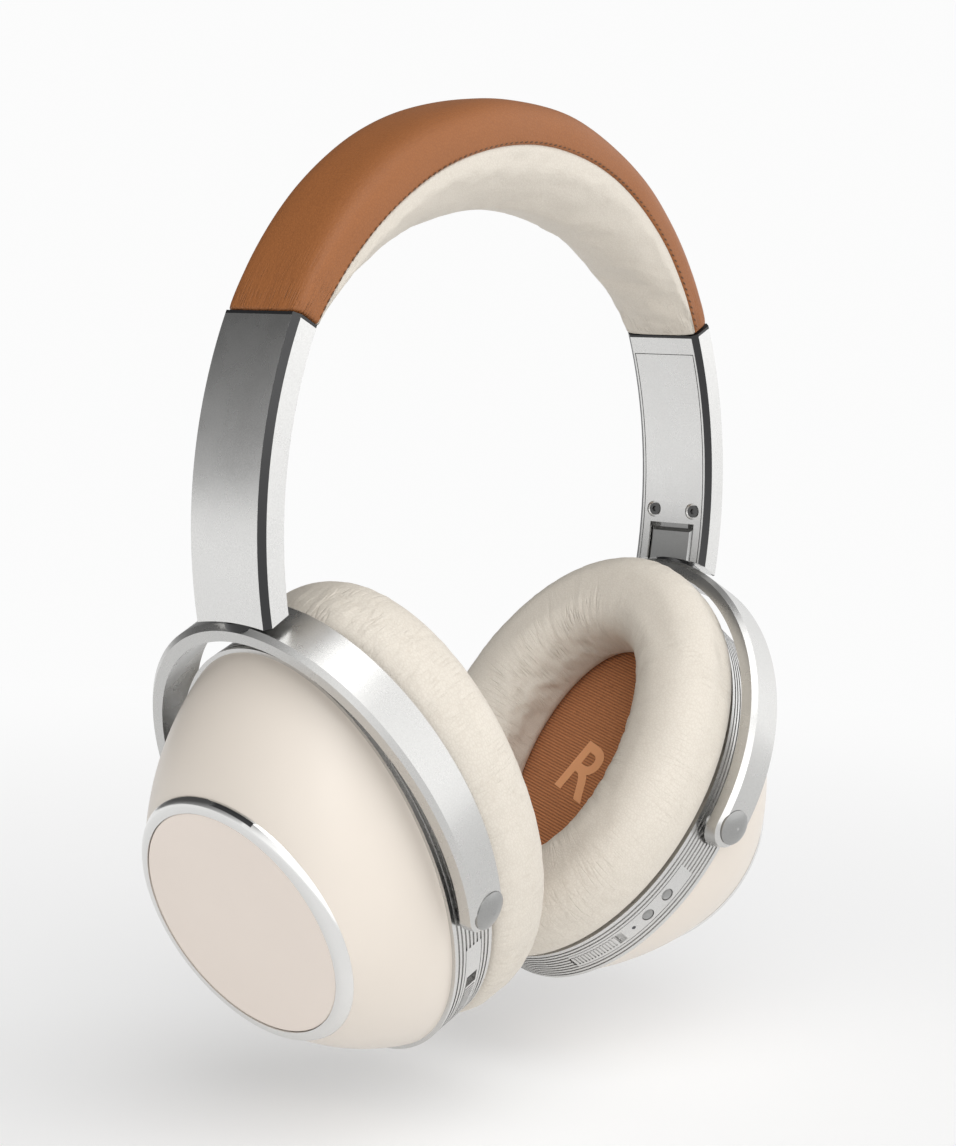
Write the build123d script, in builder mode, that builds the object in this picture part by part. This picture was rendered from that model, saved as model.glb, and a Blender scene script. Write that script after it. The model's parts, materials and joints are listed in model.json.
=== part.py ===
from build123d import *
from math import asin, atan2, cos, degrees, radians, sin, sqrt
import os

# Over-ear headphones, in millimetres.
# +Z is up, +X is the wearer's right, +Y is forward.
# The origin is the point of the headband pad that rests on the crown of the head.
# The two sides are mirror images apart from the controls, so each sub-part has one
# function, and side = -1 (left) or +1 (right) places it.

SIDES = {"left": -1, "right": 1}

# ---- arms: curved box sections, each an arc about a line parallel to Y ----
ARM_WIDTH = 20.5                # front to back
ARM_THICKNESS = 7.6
ARM_OUTER_RADIUS = 98.2
ARM_INNER_RADIUS = ARM_OUTER_RADIUS - ARM_THICKNESS
ARM_MID_RADIUS = ARM_OUTER_RADIUS - ARM_THICKNESS / 2
ARC_OFFSET = 14.2               # each arc centre lies this far beyond the middle plane
ARC_DROP = 65.8                 # arc centres below the origin
ARM_TOP_ANGLE = 24.6            # where the collar begins, above the arc centre
ARM_LOW_ANGLE = -16.0           # the blank runs this low before its foot is cut
INLAY = 1.3                     # side of the corner step that holds an inlay
COVER_THICKNESS = 1.2
COVER_WIDTH = 16.6
COVER_TOP_ANGLE = 21.8
COVER_GAP = 0.2                 # reveal line round the cover plate
CHANNEL_OUTER_RADIUS = 96.3     # channel for the slider bar
CHANNEL_FLOOR_RADIUS = ARM_INNER_RADIUS + COVER_THICKNESS
CHANNEL_WIDTH = 8.2
CHANNEL_TOP_ANGLE = 17.0
WINDOW_WIDTH = 12.8             # window in the cover plate that shows the slider's foot
WINDOW_TOP_ANGLE = -5.0
SCREW_ANGLE = -3.0
SCREW_SPACING = 11.2
SCREW_HOLE_RADIUS = 2.0
SCREW_HEAD_RADIUS = 1.5
SCREW_HEAD_HEIGHT = 0.5
SCREW_HEAD_DEPTH = 0.8          # head's seat below the arm's inner face
SCREW_SHANK_RADIUS = 0.8
SCREW_LENGTH = 3.6
SCREW_SOCKET_RADIUS = 0.75

# ---- height slider ----
BAR_WIDTH = 8.0
FOOT_WIDTH = 12.4
SLIDER_OUTER_RADIUS = 96.2
SLIDER_INNER_RADIUS = CHANNEL_FLOOR_RADIUS + 0.1
SLIDER_TOP_ANGLE = 14.8
FOOT_TOP_ANGLE = -5.7
FOOT_CHAMFER = 0.9

# ---- headband padding ----
CROWN_HEIGHT = 23.2             # top of the leather above the origin
SEAM_HEIGHT = 13.2              # seam between leather and cream pad at the crown
BAND_WIDTH = 27.0               # at the crown; the ends are as wide as the arms
BAND_ROUNDING = 5.0
BAND_PLAN_REACH = 90.0          # the plan of the padding is drawn this far to each side
PAD_ROUNDING = 4.5
COLLAR_ANGLE = 0.4              # collar between arm and leather
PADDING_END_ANGLE = ARM_TOP_ANGLE + COLLAR_ANGLE
CUSHION_END_THICKNESS = 1.0
STRAP_WIDTH = 14.0              # spring steel inside the padding
STRAP_THICKNESS = 1.2
STRAP_HEIGHT = 17.4             # its middle at the crown
STRAP_TONGUE_ANGLE = 19.8       # lowest point of its end inside the arm
POCKET_WIDTH = 18.0

# ---- yoke: a semi-oval band from pivot to pivot, in a leaning plane ----
PIVOT_X = 46.5
PIVOT_Z = -75.5 - ARC_DROP
YOKE_LEAN = 27.0                # from upright, top outwards
YOKE_CENTRE = 14.0              # oval centre above the pivot line
YOKE_RISE = 49.7                # vertical half axis of its outer face
YOKE_REACH = 43.6               # front-to-back half axis of its outer face
YOKE_THICKNESS = 3.6            # at the top
YOKE_SIDE_THICKNESS = 3.9
YOKE_END_RADIUS = 4.9           # half its width at the pivots
YOKE_TOP_HALF_WIDTH = 5.8
YOKE_CHAMFER = 1.1
YOKE_TOP = YOKE_CENTRE + YOKE_RISE
YOKE_BLANK_RISE = 4.0           # the side view is drawn this far above the top
SWIVEL_OFFSET = 1.8             # swivel axis outboard of the pivot line
SWIVEL_PIN_RADIUS = 1.5
SWIVEL_PIN_HEAD_RADIUS = 2.6
SWIVEL_PIN_HEAD_HEIGHT = 0.8
SWIVEL_PIN_GRIP = 4.0           # length held in the slider's foot
WASHER_RADIUS = 4.6
WASHER_SEAT = 0.6               # depth of its seat in the yoke
FOOT_CUT_RADIUS = 54.0          # hollow end of the arm over the yoke
FOOT_CLEARANCE = 1.75
WASHER_TOP_GAP = 0.35
PIN_HEAD_GAP = 0.15
PIVOT_BORE_Y = (25.0, 50.0)      # a bore over this span goes right through ring and yoke
RUNNING_GAP = 0.04              # radial clearance of the pins that turn
SEAT_GAP = 0.05                 # between a piece and the seat it sits in
THROUGH = 100.0                 # long enough to go right through

# ---- how the two sides hang at rest, in degrees ----
SWIVEL_REST = {-1: -4.3, 1: -5.1}
CUP_LEAN_REST = {-1: 24.0, 1: 35.0}

# ---- ear cup, in a frame at the pivot line: x outwards, z up ----
RING_RISE = 49.3                # vertical half axis of the ribbed ring
RING_REACH = 36.5               # front-to-back half axis
RING_CENTRE = 7.1               # above the pivot line
RING_INNER_X = -6.2
RING_OUTER_X = 5.6
RING_WALL = 3.0
RIB_PITCH = 1.16
RIB_GROOVES = 9
GROOVE_WIDTH = 0.5
GROOVE_DEPTH = 0.5
RIB_MIDDLE_X = -0.3
CONE_STEP = 0.9                 # cone base set in from the ring
CONE_WALL = 1.6
CONE_MIDDLE_X = 15.0            # the cone swells a little between its two ends
CONE_MIDDLE_REACH = 34.4
CONE_MIDDLE_RISE = 42.4
CONE_MIDDLE_CENTRE = 7.0
DISC_CENTRE = 5.3               # above the pivot line
DISC_X = 29.3
DISC_RADIUS = 26.1
DISC_THICKNESS = 1.1
BEZEL_RADIUS = 29.1
BEZEL_X = 27.4
BEZEL_FACE_X = 29.5
BEZEL_FLANK = 0.5
BEZEL_LIP = 1.6                 # ledge behind the disc
BEZEL_LAND = 0.8                # flat rim next to the disc
BEZEL_GAP = 0.1
MIC_SLOT_ANGLE = 75.6           # round the disc, from the rear towards the top
MIC_SLOT_HALF_ANGLE = 11.4
MIC_SLOT_X = (27.8, 28.7)
MIC_SLOT_DEPTH = 1.0
PIVOT_PIN_RADIUS = 1.8
PIVOT_PIN_Y = (32.6, 40.7)
BUSH_RADIUS = 3.0
BUSH_Y = (32.8, 36.5)
CAP_RADIUS = 4.2
CAP_SEAT = 0.5
CAP_EDGE = 0.1
CAP_RISE = 1.2
CAP_CUT = 4.0                   # the cap's seat is cut this far outwards

# ---- inside the cup and on the ear side ----
BAFFLE_THICKNESS = 2.0
BAFFLE_INSET = RING_WALL + 0.05
DRIVER_HOLE_RADIUS = 18.4
POST_SPACING = (44.0, 60.0)
POST_RADIUS = 2.4
POST_END_X = 18.0
BAFFLE_SCREW_LENGTH = 5.0
SCREW_GAP = 0.1
SCREEN_THICKNESS = 0.5
SCREEN_INSET = 7.0
PAD_BACK_X = RING_INNER_X - SCREEN_THICKNESS
PAD_FRONT_X = -27.2
PAD_OVERHANG = 1.9
PAD_RIM_WIDTH = 20.8            # radial width of the padded rim
PAD_FRONT_ROUNDING = 10.0
PAD_BACK_ROUNDING = 8.0
DRIVER_RADIUS = 20.2
DRIVER_MOUTH_RADIUS = 17.6
DRIVER_WAIST_RADIUS = 12.6
DRIVER_WALL = 1.6
FILM_THICKNESS = 0.25
DOME_RADIUS = 7.0
MAGNET_RADIUS = 11.0
MAGNET_X = (-0.8, 5.6)
BOARD_SIZE = (36.0, 56.0, 1.2)
BATTERY_SIZE = (30.0, 46.0, 6.0)
BLOCK_CORNER = 2.5
BATTERY_ROUNDING = 0.8

# ---- controls and sockets, by angle round the ring from the rear pivot downwards ----
STRIP_HALF_WIDTH = 2.4
STRIP_DEPTH = 1.4
STRIP_SPAN = {-1: (25.5, 57.0), 1: (27.5, 73.5)}
SLOT_SPAN = {-1: (31.0, 53.6), 1: (49.2, 70.4)}
SWITCH_SPAN = {-1: (35.4, 52.6), 1: (52.4, 69.4)}
SWITCH_HALF_WIDTH = 1.55
SWITCH_SLOT_HALF_WIDTH = 1.65
SWITCH_THICKNESS = 1.25
SWITCH_PROUD = 0.1
SWITCH_FLOOR_GAP = 0.15
SWITCH_TEETH = 13
SWITCH_TOOTH_GAP = 0.4
SWITCH_TOOTH_DEPTH = 0.35
BUTTON_ANGLES = {"upper_button": 31.9, "lower_button": 40.0}
BUTTON_RADIUS = 1.5
BUTTON_LENGTH = 2.6
BUTTON_RECESS = 0.15
BUTTON_DISH_RADIUS = 2.2
BUTTON_DISH_DEPTH = 0.35
BUTTON_CHAMFER = 0.15
BUTTON_GAP = 0.06
CONTROL_HOLE = (-8.0, 2.0)       # span of a hole through the ring, along the rim's normal
LIGHT_ANGLE = 45.8
LIGHT_RADIUS = 0.5
LIGHT_SPAN = (-2.6, -0.05)
SOCKET_RECESS = 0.1
JACK_ANGLE = 100.0
JACK_RADIUS = 3.0
JACK_BORE_RADIUS = 1.8
JACK_LENGTH = 14.0
JACK_END_WALL = 1.5
USB_ANGLE = 122.0
USB_OUTER = (3.3, 9.0)
USB_WALL = 0.35
USB_LENGTH = 7.4
USB_END_WALL = 1.0
USB_TONGUE = (0.7, 6.7, 5.2)

os.makedirs("parts", exist_ok=True)


def write(builder, name, place=Location()):
    """Label a finished sub-part, put it in its place and write its STEP file."""
    piece = builder.part.moved(place)
    piece.label = name
    export_step(piece, f"parts/{name}.step")


# ---------------------------------------------------------------- frames


def arc_axis(side):
    """The arc's axis, turned so that a positive angle climbs the arm."""
    return Axis((-side * ARC_OFFSET, 0, -ARC_DROP), (0, -side, 0))


def arc_plane(side, angle):
    """Radial plane of an arm: local x is the radius and local y is +Y."""
    turn = radians(angle)
    return Plane(
        origin=(-side * ARC_OFFSET, 0, -ARC_DROP),
        x_dir=(side * cos(turn), 0, sin(turn)),
        z_dir=(-sin(turn), 0, side * cos(turn)),
    )


def arc_point(side, radius, angle):
    """Point of an arm's arc, as x and z."""
    turn = radians(angle)
    return (side * (radius * cos(turn) - ARC_OFFSET), radius * sin(turn) - ARC_DROP)


def neutral_yoke_place(side):
    """Frame at the pivot line before the swivel turns: x outwards, z up the yoke."""
    lean = radians(YOKE_LEAN)
    return Plane(
        origin=(side * PIVOT_X, 0, PIVOT_Z),
        x_dir=(side * cos(lean), 0, -sin(lean)),
        z_dir=(side * sin(lean), 0, cos(lean)),
    ).location


def yoke_place(side):
    """Frame at the pivot line with the yoke swivelled as it hangs at rest."""
    axis = Location((SWIVEL_OFFSET, 0, 0))
    turn = Location((0, 0, 0), (0, 0, SWIVEL_REST[side]))
    return neutral_yoke_place(side) * axis * turn * axis.inverse()


def cup_place(side):
    """Frame at the pivot line with the cup tilted in the yoke as it hangs at rest."""
    return yoke_place(side) * Location((0, 0, 0), (0, CUP_LEAN_REST[side] - YOKE_LEAN, 0))


def rim_point(side, angle, inset=0.0):
    """Point on the ring's outer face in the cup frame, as y and z."""
    turn = radians(angle)
    return (
        -side * (RING_REACH - inset) * cos(turn),
        RING_CENTRE - (RING_RISE - inset) * sin(turn),
    )


def rim_plane(side, angle):
    """Plane on the ring's outer face, facing outwards: local x is across the ribs."""
    turn = radians(angle)
    y, z = rim_point(side, angle)
    return Plane(
        origin=(RIB_MIDDLE_X, y, z),
        x_dir=(1, 0, 0),
        z_dir=(0, -side * cos(turn) / RING_REACH, -sin(turn) / RING_RISE),
    )


def switch_circle(side):
    """Circle that fits the ring at the middle of the slide switch: y, z and radius."""
    middle = sum(SWITCH_SPAN[side]) / 2
    turn = radians(middle)
    reach = (RING_REACH * sin(turn)) ** 2
    rise = (RING_RISE * cos(turn)) ** 2
    radius = (reach + rise) ** 1.5 / (RING_REACH * RING_RISE)
    centre = rim_plane(side, middle).origin - rim_plane(side, middle).z_dir * radius
    return centre.Y, centre.Z, radius


# ---------------------------------------------------------------- shared shapes


def radial_bar(side, radii, width, angles, mode=Mode.ADD):
    """Bar of rectangular section along an arm's arc, in the open BuildPart."""
    inner, outer = radii
    low, high = angles
    with BuildSketch(arc_plane(side, low)) as section:
        with Locations(((inner + outer) / 2, 0)):
            Rectangle(outer - inner, width)
    revolve(section.sketch, axis=arc_axis(side), revolution_arc=high - low, mode=mode)


def oval_band(x_from, x_to, outset, inset, mode=Mode.ADD):
    """Hoop between two ovals that run round the ring, in the open BuildPart."""
    with BuildSketch(Plane.YZ.offset(x_from)) as hoop:
        with Locations((0, RING_CENTRE)):
            Ellipse(RING_REACH + outset, RING_RISE + outset)
            Ellipse(RING_REACH - inset, RING_RISE - inset, mode=Mode.SUBTRACT)
    extrude(hoop.sketch, amount=x_to - x_from, mode=mode)


def rim_wedge(side, span, mode):
    """Wedge from the ring's centre outwards over a span of its rim."""
    first, last = span
    corners = [rim_point(side, angle, -THROUGH) for angle in (first, (first + last) / 2, last)]
    with BuildSketch(Plane.YZ.offset(RIB_MIDDLE_X)) as wedge:
        with BuildLine():
            Polyline((0, RING_CENTRE), *corners, close=True)
        make_face()
    extrude(wedge.sketch, amount=2 * STRIP_HALF_WIDTH, both=True, mode=mode)


def round_bar(plane, radius, start, end, mode=Mode.ADD):
    """Cylinder square to a plane, from start to end along its normal."""
    with BuildSketch(plane.offset(start)) as end_face:
        Circle(radius)
    extrude(end_face.sketch, amount=end - start, mode=mode)


def crown_face(outer_height, outer_end, inner_height, inner_end):
    """Face between two arcs that rise over the head and end on the given points."""
    with BuildLine() as outline:
        ThreePointArc((-outer_end[0], outer_end[1]), (0, outer_height), outer_end)
        Line(outer_end, inner_end)
        ThreePointArc(inner_end, (0, inner_height), (-inner_end[0], inner_end[1]))
        Line((-inner_end[0], inner_end[1]), (-outer_end[0], outer_end[1]))
    make_face(outline.line)


def barrel_outline():
    """Plan of the padding: as wide as the arms at its ends and fuller at the crown."""
    end_x = arc_point(1, ARM_OUTER_RADIUS, PADDING_END_ANGLE)[0]
    end_half = ARM_WIDTH / 2
    fullness = (BAND_WIDTH - ARM_WIDTH) / 2
    corner = end_half - fullness * ((BAND_PLAN_REACH / end_x) ** 2 - 1)
    reach = BAND_PLAN_REACH
    with BuildSketch() as plan:
        with BuildLine():
            ThreePointArc((-reach, corner), (0, BAND_WIDTH / 2), (reach, corner))
            Line((reach, corner), (reach, -corner))
            ThreePointArc((reach, -corner), (0, -BAND_WIDTH / 2), (-reach, -corner))
            Line((-reach, -corner), (-reach, corner))
        make_face()
    extrude(plan.sketch, amount=THROUGH, both=True, mode=Mode.INTERSECT)


# ---------------------------------------------------------------- arms


def screw_planes(side):
    """Planes at the two cover screws, on the arm's inner face and facing into it."""
    turn = radians(SCREW_ANGLE)
    x, z = arc_point(side, ARM_INNER_RADIUS, SCREW_ANGLE)
    return [
        Plane(
            origin=(x, y, z),
            x_dir=(0, 1, 0),
            z_dir=(side * cos(turn), 0, sin(turn)),
        )
        for y in (-SCREW_SPACING / 2, SCREW_SPACING / 2)
    ]


def cut_foot(side):
    """Hollow the lower end so that it follows the top of the yoke."""
    plane = Plane(neutral_yoke_place(side) * Plane.YZ.location)
    with BuildSketch(plane) as hollow:
        with Locations((0, YOKE_TOP + FOOT_CLEARANCE - FOOT_CUT_RADIUS)):
            Circle(FOOT_CUT_RADIUS)
    extrude(hollow.sketch, amount=THROUGH / 2, both=True, mode=Mode.SUBTRACT)


def build_arm(side_name):
    side = SIDES[side_name]
    blank = (ARM_LOW_ANGLE, ARM_TOP_ANGLE)
    corner = ARM_WIDTH / 2 - INLAY / 2
    steel = STRAP_THICKNESS / 2
    with BuildPart() as arm:
        radial_bar(side, (ARM_INNER_RADIUS, ARM_OUTER_RADIUS), ARM_WIDTH, blank)
        with BuildSketch(arc_plane(side, ARM_LOW_ANGLE)):
            for radius in (ARM_OUTER_RADIUS - INLAY / 2, ARM_INNER_RADIUS + INLAY / 2):
                with Locations((radius, corner), (radius, -corner)):
                    Rectangle(INLAY, INLAY)
        revolve(
            axis=arc_axis(side),
            revolution_arc=ARM_TOP_ANGLE - ARM_LOW_ANGLE,
            mode=Mode.SUBTRACT,
        )
        # channel for the slider bar, and the wider pocket for its foot
        radial_bar(side, (CHANNEL_FLOOR_RADIUS, CHANNEL_OUTER_RADIUS), CHANNEL_WIDTH,
                   (ARM_LOW_ANGLE, CHANNEL_TOP_ANGLE), Mode.SUBTRACT)
        radial_bar(side, (CHANNEL_FLOOR_RADIUS, CHANNEL_OUTER_RADIUS), WINDOW_WIDTH,
                   (ARM_LOW_ANGLE, WINDOW_TOP_ANGLE), Mode.SUBTRACT)
        # recess for the cover plate, and slot for the end of the spring steel
        radial_bar(side, (ARM_INNER_RADIUS - 1, CHANNEL_FLOOR_RADIUS),
                   COVER_WIDTH + 2 * COVER_GAP,
                   (ARM_LOW_ANGLE, COVER_TOP_ANGLE + degrees(COVER_GAP / ARM_INNER_RADIUS)),
                   Mode.SUBTRACT)
        radial_bar(side, (ARM_MID_RADIUS - steel, ARM_MID_RADIUS + steel), STRAP_WIDTH,
                   (STRAP_TONGUE_ANGLE, ARM_TOP_ANGLE), Mode.SUBTRACT)
        for plane in screw_planes(side):
            round_bar(plane, SCREW_SHANK_RADIUS, 0, SCREW_HEAD_DEPTH + SCREW_LENGTH, Mode.SUBTRACT)
        cut_foot(side)
    write(arm, f"arm_{side_name}")


def build_arm_inlays():
    """Black strips with a 45 degree face, one along each corner of both arms."""
    edge = ARM_WIDTH / 2
    with BuildPart() as inlays:
        for side in SIDES.values():
            with BuildSketch(arc_plane(side, ARM_LOW_ANGLE)) as corners:
                for front in (-1, 1):
                    for face, inward in ((ARM_OUTER_RADIUS, -1), (ARM_INNER_RADIUS, 1)):
                        with BuildLine():
                            Polyline(
                                (face + inward * INLAY, front * (edge - INLAY)),
                                (face, front * (edge - INLAY)),
                                (face + inward * INLAY, front * edge),
                                close=True,
                            )
                        make_face()
            revolve(
                corners.sketch,
                axis=arc_axis(side),
                revolution_arc=ARM_TOP_ANGLE - ARM_LOW_ANGLE,
            )
            cut_foot(side)
    write(inlays, "arm_inlays")


def build_arm_cover(side_name):
    side = SIDES[side_name]
    with BuildPart() as cover:
        radial_bar(side, (ARM_INNER_RADIUS, CHANNEL_FLOOR_RADIUS), COVER_WIDTH,
                   (ARM_LOW_ANGLE, COVER_TOP_ANGLE))
        radial_bar(side, (ARM_INNER_RADIUS - 1, CHANNEL_FLOOR_RADIUS + 1), WINDOW_WIDTH,
                   (ARM_LOW_ANGLE, WINDOW_TOP_ANGLE), Mode.SUBTRACT)
        for plane in screw_planes(side):
            round_bar(plane, SCREW_HOLE_RADIUS, -1, SCREW_HEAD_DEPTH, Mode.SUBTRACT)
            round_bar(plane, SCREW_SHANK_RADIUS, 0, COVER_THICKNESS + 1, Mode.SUBTRACT)
        cut_foot(side)
    write(cover, f"arm_cover_{side_name}")


def build_arm_screws():
    """Four small socket-head screws, two in each arm, sunk below the cover plates."""
    with BuildPart() as screws:
        for side in SIDES.values():
            for plane in screw_planes(side):
                top = SCREW_HEAD_DEPTH - SCREW_HEAD_HEIGHT
                round_bar(plane, SCREW_HEAD_RADIUS, top, SCREW_HEAD_DEPTH)
                round_bar(plane, SCREW_SHANK_RADIUS, SCREW_HEAD_DEPTH,
                          SCREW_HEAD_DEPTH + SCREW_LENGTH)
                with BuildSketch(plane.offset(top)):
                    RegularPolygon(SCREW_SOCKET_RADIUS, 6)
                extrude(amount=SCREW_HEAD_HEIGHT, mode=Mode.SUBTRACT)
    write(screws, "arm_screws")


def build_height_slider(side_name):
    """Bar that runs in the arm, with a wider foot that shows in the cover's window."""
    side = SIDES[side_name]
    mouth = Plane(neutral_yoke_place(side))
    foot_top = (ARM_INNER_RADIUS, SLIDER_OUTER_RADIUS)
    with BuildPart() as slider:
        radial_bar(side, foot_top, FOOT_WIDTH, (ARM_LOW_ANGLE, FOOT_TOP_ANGLE))
        inner_edges = slider.edges().filter_by(
            lambda edge: abs(edge.length - FOOT_WIDTH) < 0.01
            and abs(arc_radius(side, edge @ 0.5) - ARM_INNER_RADIUS) < 0.01
            and (edge @ 0.5).Z > arc_point(side, ARM_INNER_RADIUS, FOOT_TOP_ANGLE)[1] - 0.1
        )
        side_edges = slider.edges().filter_by(
            lambda edge: edge.length > FOOT_WIDTH + 1
            and abs(arc_radius(side, edge @ 0.5) - ARM_INNER_RADIUS) < 0.01
        )
        chamfer(inner_edges + side_edges, FOOT_CHAMFER)
        radial_bar(side, (SLIDER_INNER_RADIUS, SLIDER_OUTER_RADIUS), BAR_WIDTH,
                   (FOOT_TOP_ANGLE - 1, SLIDER_TOP_ANGLE))
        cut_foot(side)
        with BuildSketch(mouth.offset(YOKE_TOP)):
            with Locations((SWIVEL_OFFSET, 0)):
                Circle(SWIVEL_PIN_RADIUS)
        extrude(amount=FOOT_CLEARANCE + SWIVEL_PIN_GRIP, mode=Mode.SUBTRACT)
    write(slider, f"height_slider_{side_name}")


def arc_radius(side, point):
    """Distance of a point from an arm's arc axis."""
    return sqrt((point.X + side * ARC_OFFSET) ** 2 + (point.Z + ARC_DROP) ** 2)


# ---------------------------------------------------------------- headband


def crown_ends(radius):
    """End of a headband arc where the padding stops, on the right-hand side."""
    return arc_point(1, radius, PADDING_END_ANGLE)


def build_headband_strap():
    """Spring steel from arm to arm, with its ends held in slots in the arms."""
    steel = STRAP_THICKNESS / 2
    with BuildPart() as strap:
        with BuildSketch(Plane.XZ):
            crown_face(STRAP_HEIGHT + steel, crown_ends(ARM_MID_RADIUS + steel),
                       STRAP_HEIGHT - steel, crown_ends(ARM_MID_RADIUS - steel))
        extrude(amount=STRAP_WIDTH / 2, both=True)
        for side in SIDES.values():
            radial_bar(side, (ARM_MID_RADIUS - steel, ARM_MID_RADIUS + steel), STRAP_WIDTH,
                       (STRAP_TONGUE_ANGLE, PADDING_END_ANGLE))
    write(strap, "headband_strap")


def pocket_face():
    """Face of the hollow in the leather cover that holds the steel and its foam."""
    steel = STRAP_THICKNESS / 2
    crown_face(STRAP_HEIGHT + steel, crown_ends(ARM_MID_RADIUS + steel),
               SEAM_HEIGHT, crown_ends(ARM_INNER_RADIUS + CUSHION_END_THICKNESS))


def build_headband_cover():
    """Padded leather cover over the top and sides of the headband."""
    with BuildPart() as cover:
        with BuildSketch(Plane.XZ):
            crown_face(CROWN_HEIGHT, crown_ends(ARM_OUTER_RADIUS),
                       SEAM_HEIGHT, crown_ends(ARM_INNER_RADIUS + CUSHION_END_THICKNESS))
        extrude(amount=BAND_WIDTH, both=True)
        barrel_outline()
        top = cover.edges().filter_by(
            lambda edge: edge.length > 150 and (edge @ 0.5).Z > CROWN_HEIGHT - 1
        )
        fillet(top, BAND_ROUNDING)
        with BuildSketch(Plane.XZ):
            pocket_face()
        extrude(amount=POCKET_WIDTH / 2, both=True, mode=Mode.SUBTRACT)
    write(cover, "headband_cover")


def build_headband_foam():
    """Foam strip between the spring steel and the cream pad."""
    steel = STRAP_THICKNESS / 2
    with BuildPart() as foam:
        with BuildSketch(Plane.XZ):
            pocket_face()
        extrude(amount=POCKET_WIDTH / 2, both=True)
        with BuildSketch(Plane.XZ):
            crown_face(STRAP_HEIGHT + steel, crown_ends(ARM_MID_RADIUS + steel),
                       STRAP_HEIGHT - steel, crown_ends(ARM_MID_RADIUS - steel))
        extrude(amount=STRAP_WIDTH / 2, both=True, mode=Mode.SUBTRACT)
    write(foam, "headband_foam")


def build_headband_cushion():
    """Cream pad under the headband, deepest at the crown."""
    with BuildPart() as cushion:
        with BuildSketch(Plane.XZ):
            crown_face(SEAM_HEIGHT, crown_ends(ARM_INNER_RADIUS + CUSHION_END_THICKNESS),
                       0, crown_ends(ARM_INNER_RADIUS))
        extrude(amount=BAND_WIDTH, both=True)
        barrel_outline()
    write(cushion, "headband_cushion")


def build_headband_collars():
    """Thin black collars where the leather meets the arms."""
    steel = STRAP_THICKNESS / 2
    angles = (ARM_TOP_ANGLE, PADDING_END_ANGLE)
    with BuildPart() as collars:
        for side in SIDES.values():
            radial_bar(side, (ARM_INNER_RADIUS, ARM_OUTER_RADIUS), ARM_WIDTH, angles)
        chamfer(collars.edges().filter_by(lambda edge: edge.length < 1), INLAY)
        for side in SIDES.values():
            radial_bar(side, (ARM_MID_RADIUS - steel, ARM_MID_RADIUS + steel), STRAP_WIDTH,
                       angles, Mode.SUBTRACT)
    write(collars, "headband_collars")


# ---------------------------------------------------------------- yokes


def yoke_oval(side_inset=0.0, top_inset=0.0, mode=Mode.ADD):
    """Oval of the yoke in the open sketch."""
    with Locations((0, YOKE_CENTRE)):
        Ellipse(YOKE_REACH - side_inset, YOKE_RISE - top_inset, mode=mode)


def pivot_face_angle():
    """How far the yoke's outer face leans under at the pivots."""
    reach = YOKE_REACH * sqrt(1 - (YOKE_CENTRE / YOKE_RISE) ** 2)
    return degrees(atan2(YOKE_REACH**2 * YOKE_CENTRE, YOKE_RISE**2 * reach)), reach


def cap_planes():
    """Planes of the two pivot caps on the yoke's outer face."""
    lean, reach = pivot_face_angle()
    return [
        Plane(
            origin=(0, front * reach, 0),
            x_dir=(1, 0, 0),
            z_dir=(0, front * cos(radians(lean)), -sin(radians(lean))),
        )
        for front in (-1, 1)
    ]


def pivot_bores(radius):
    """Bores on the pivot line through the ring and the yoke, in the open BuildPart."""
    inner, outer = PIVOT_BORE_Y
    for front in (-1, 1):
        round_bar(Plane.XZ, radius, front * inner, front * outer, Mode.SUBTRACT)


def swivel_bore(axis):
    """Bore for the swivel pin, in the open BuildPart."""
    low, high = YOKE_TOP - 2 * YOKE_THICKNESS, YOKE_TOP + YOKE_BLANK_RISE
    round_bar(axis, SWIVEL_PIN_RADIUS + RUNNING_GAP, low, high, Mode.SUBTRACT)


def on_outer_oval(edge):
    """True for an edge that lies on the yoke's outer face."""
    middle = edge @ 0.5
    value = (middle.Y / YOKE_REACH) ** 2 + ((middle.Z - YOKE_CENTRE) / YOKE_RISE) ** 2
    return abs(value - 1) < 0.002


def build_yoke(side_name):
    side = SIDES[side_name]
    top = YOKE_TOP + YOKE_BLANK_RISE
    spread = (YOKE_TOP_HALF_WIDTH - YOKE_END_RADIUS) / YOKE_TOP
    half_top = YOKE_TOP_HALF_WIDTH + spread * YOKE_BLANK_RISE
    flare = asin((half_top - YOKE_END_RADIUS) / top)
    end_x, end_z = YOKE_END_RADIUS * cos(flare), -YOKE_END_RADIUS * sin(flare)
    with BuildPart() as yoke:
        with BuildSketch(Plane.YZ):
            yoke_oval()
            yoke_oval(YOKE_SIDE_THICKNESS, YOKE_THICKNESS, Mode.SUBTRACT)
        extrude(amount=2 * YOKE_TOP_HALF_WIDTH, both=True)
        # side view of the band: rounded at the pivots and wider at the top
        with BuildSketch(Plane.XZ):
            with BuildLine():
                ThreePointArc((-end_x, end_z), (0, -YOKE_END_RADIUS), (end_x, end_z))
                Polyline((end_x, end_z), (half_top, top), (-half_top, top), (-end_x, end_z))
            make_face()
        extrude(amount=THROUGH, both=True, mode=Mode.INTERSECT)
        chamfer(yoke.edges().filter_by(on_outer_oval), YOKE_CHAMFER)
        pivot_bores(PIVOT_PIN_RADIUS)
        for plane in cap_planes():
            round_bar(plane, CAP_RADIUS + SEAT_GAP, -CAP_SEAT, CAP_CUT, Mode.SUBTRACT)
        axis = Plane.XY.move(Location((SWIVEL_OFFSET, 0, 0)))
        swivel_bore(axis)
        round_bar(axis, WASHER_RADIUS + SEAT_GAP, YOKE_TOP - WASHER_SEAT, top, Mode.SUBTRACT)
    write(yoke, f"yoke_{side_name}", yoke_place(side))


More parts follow.
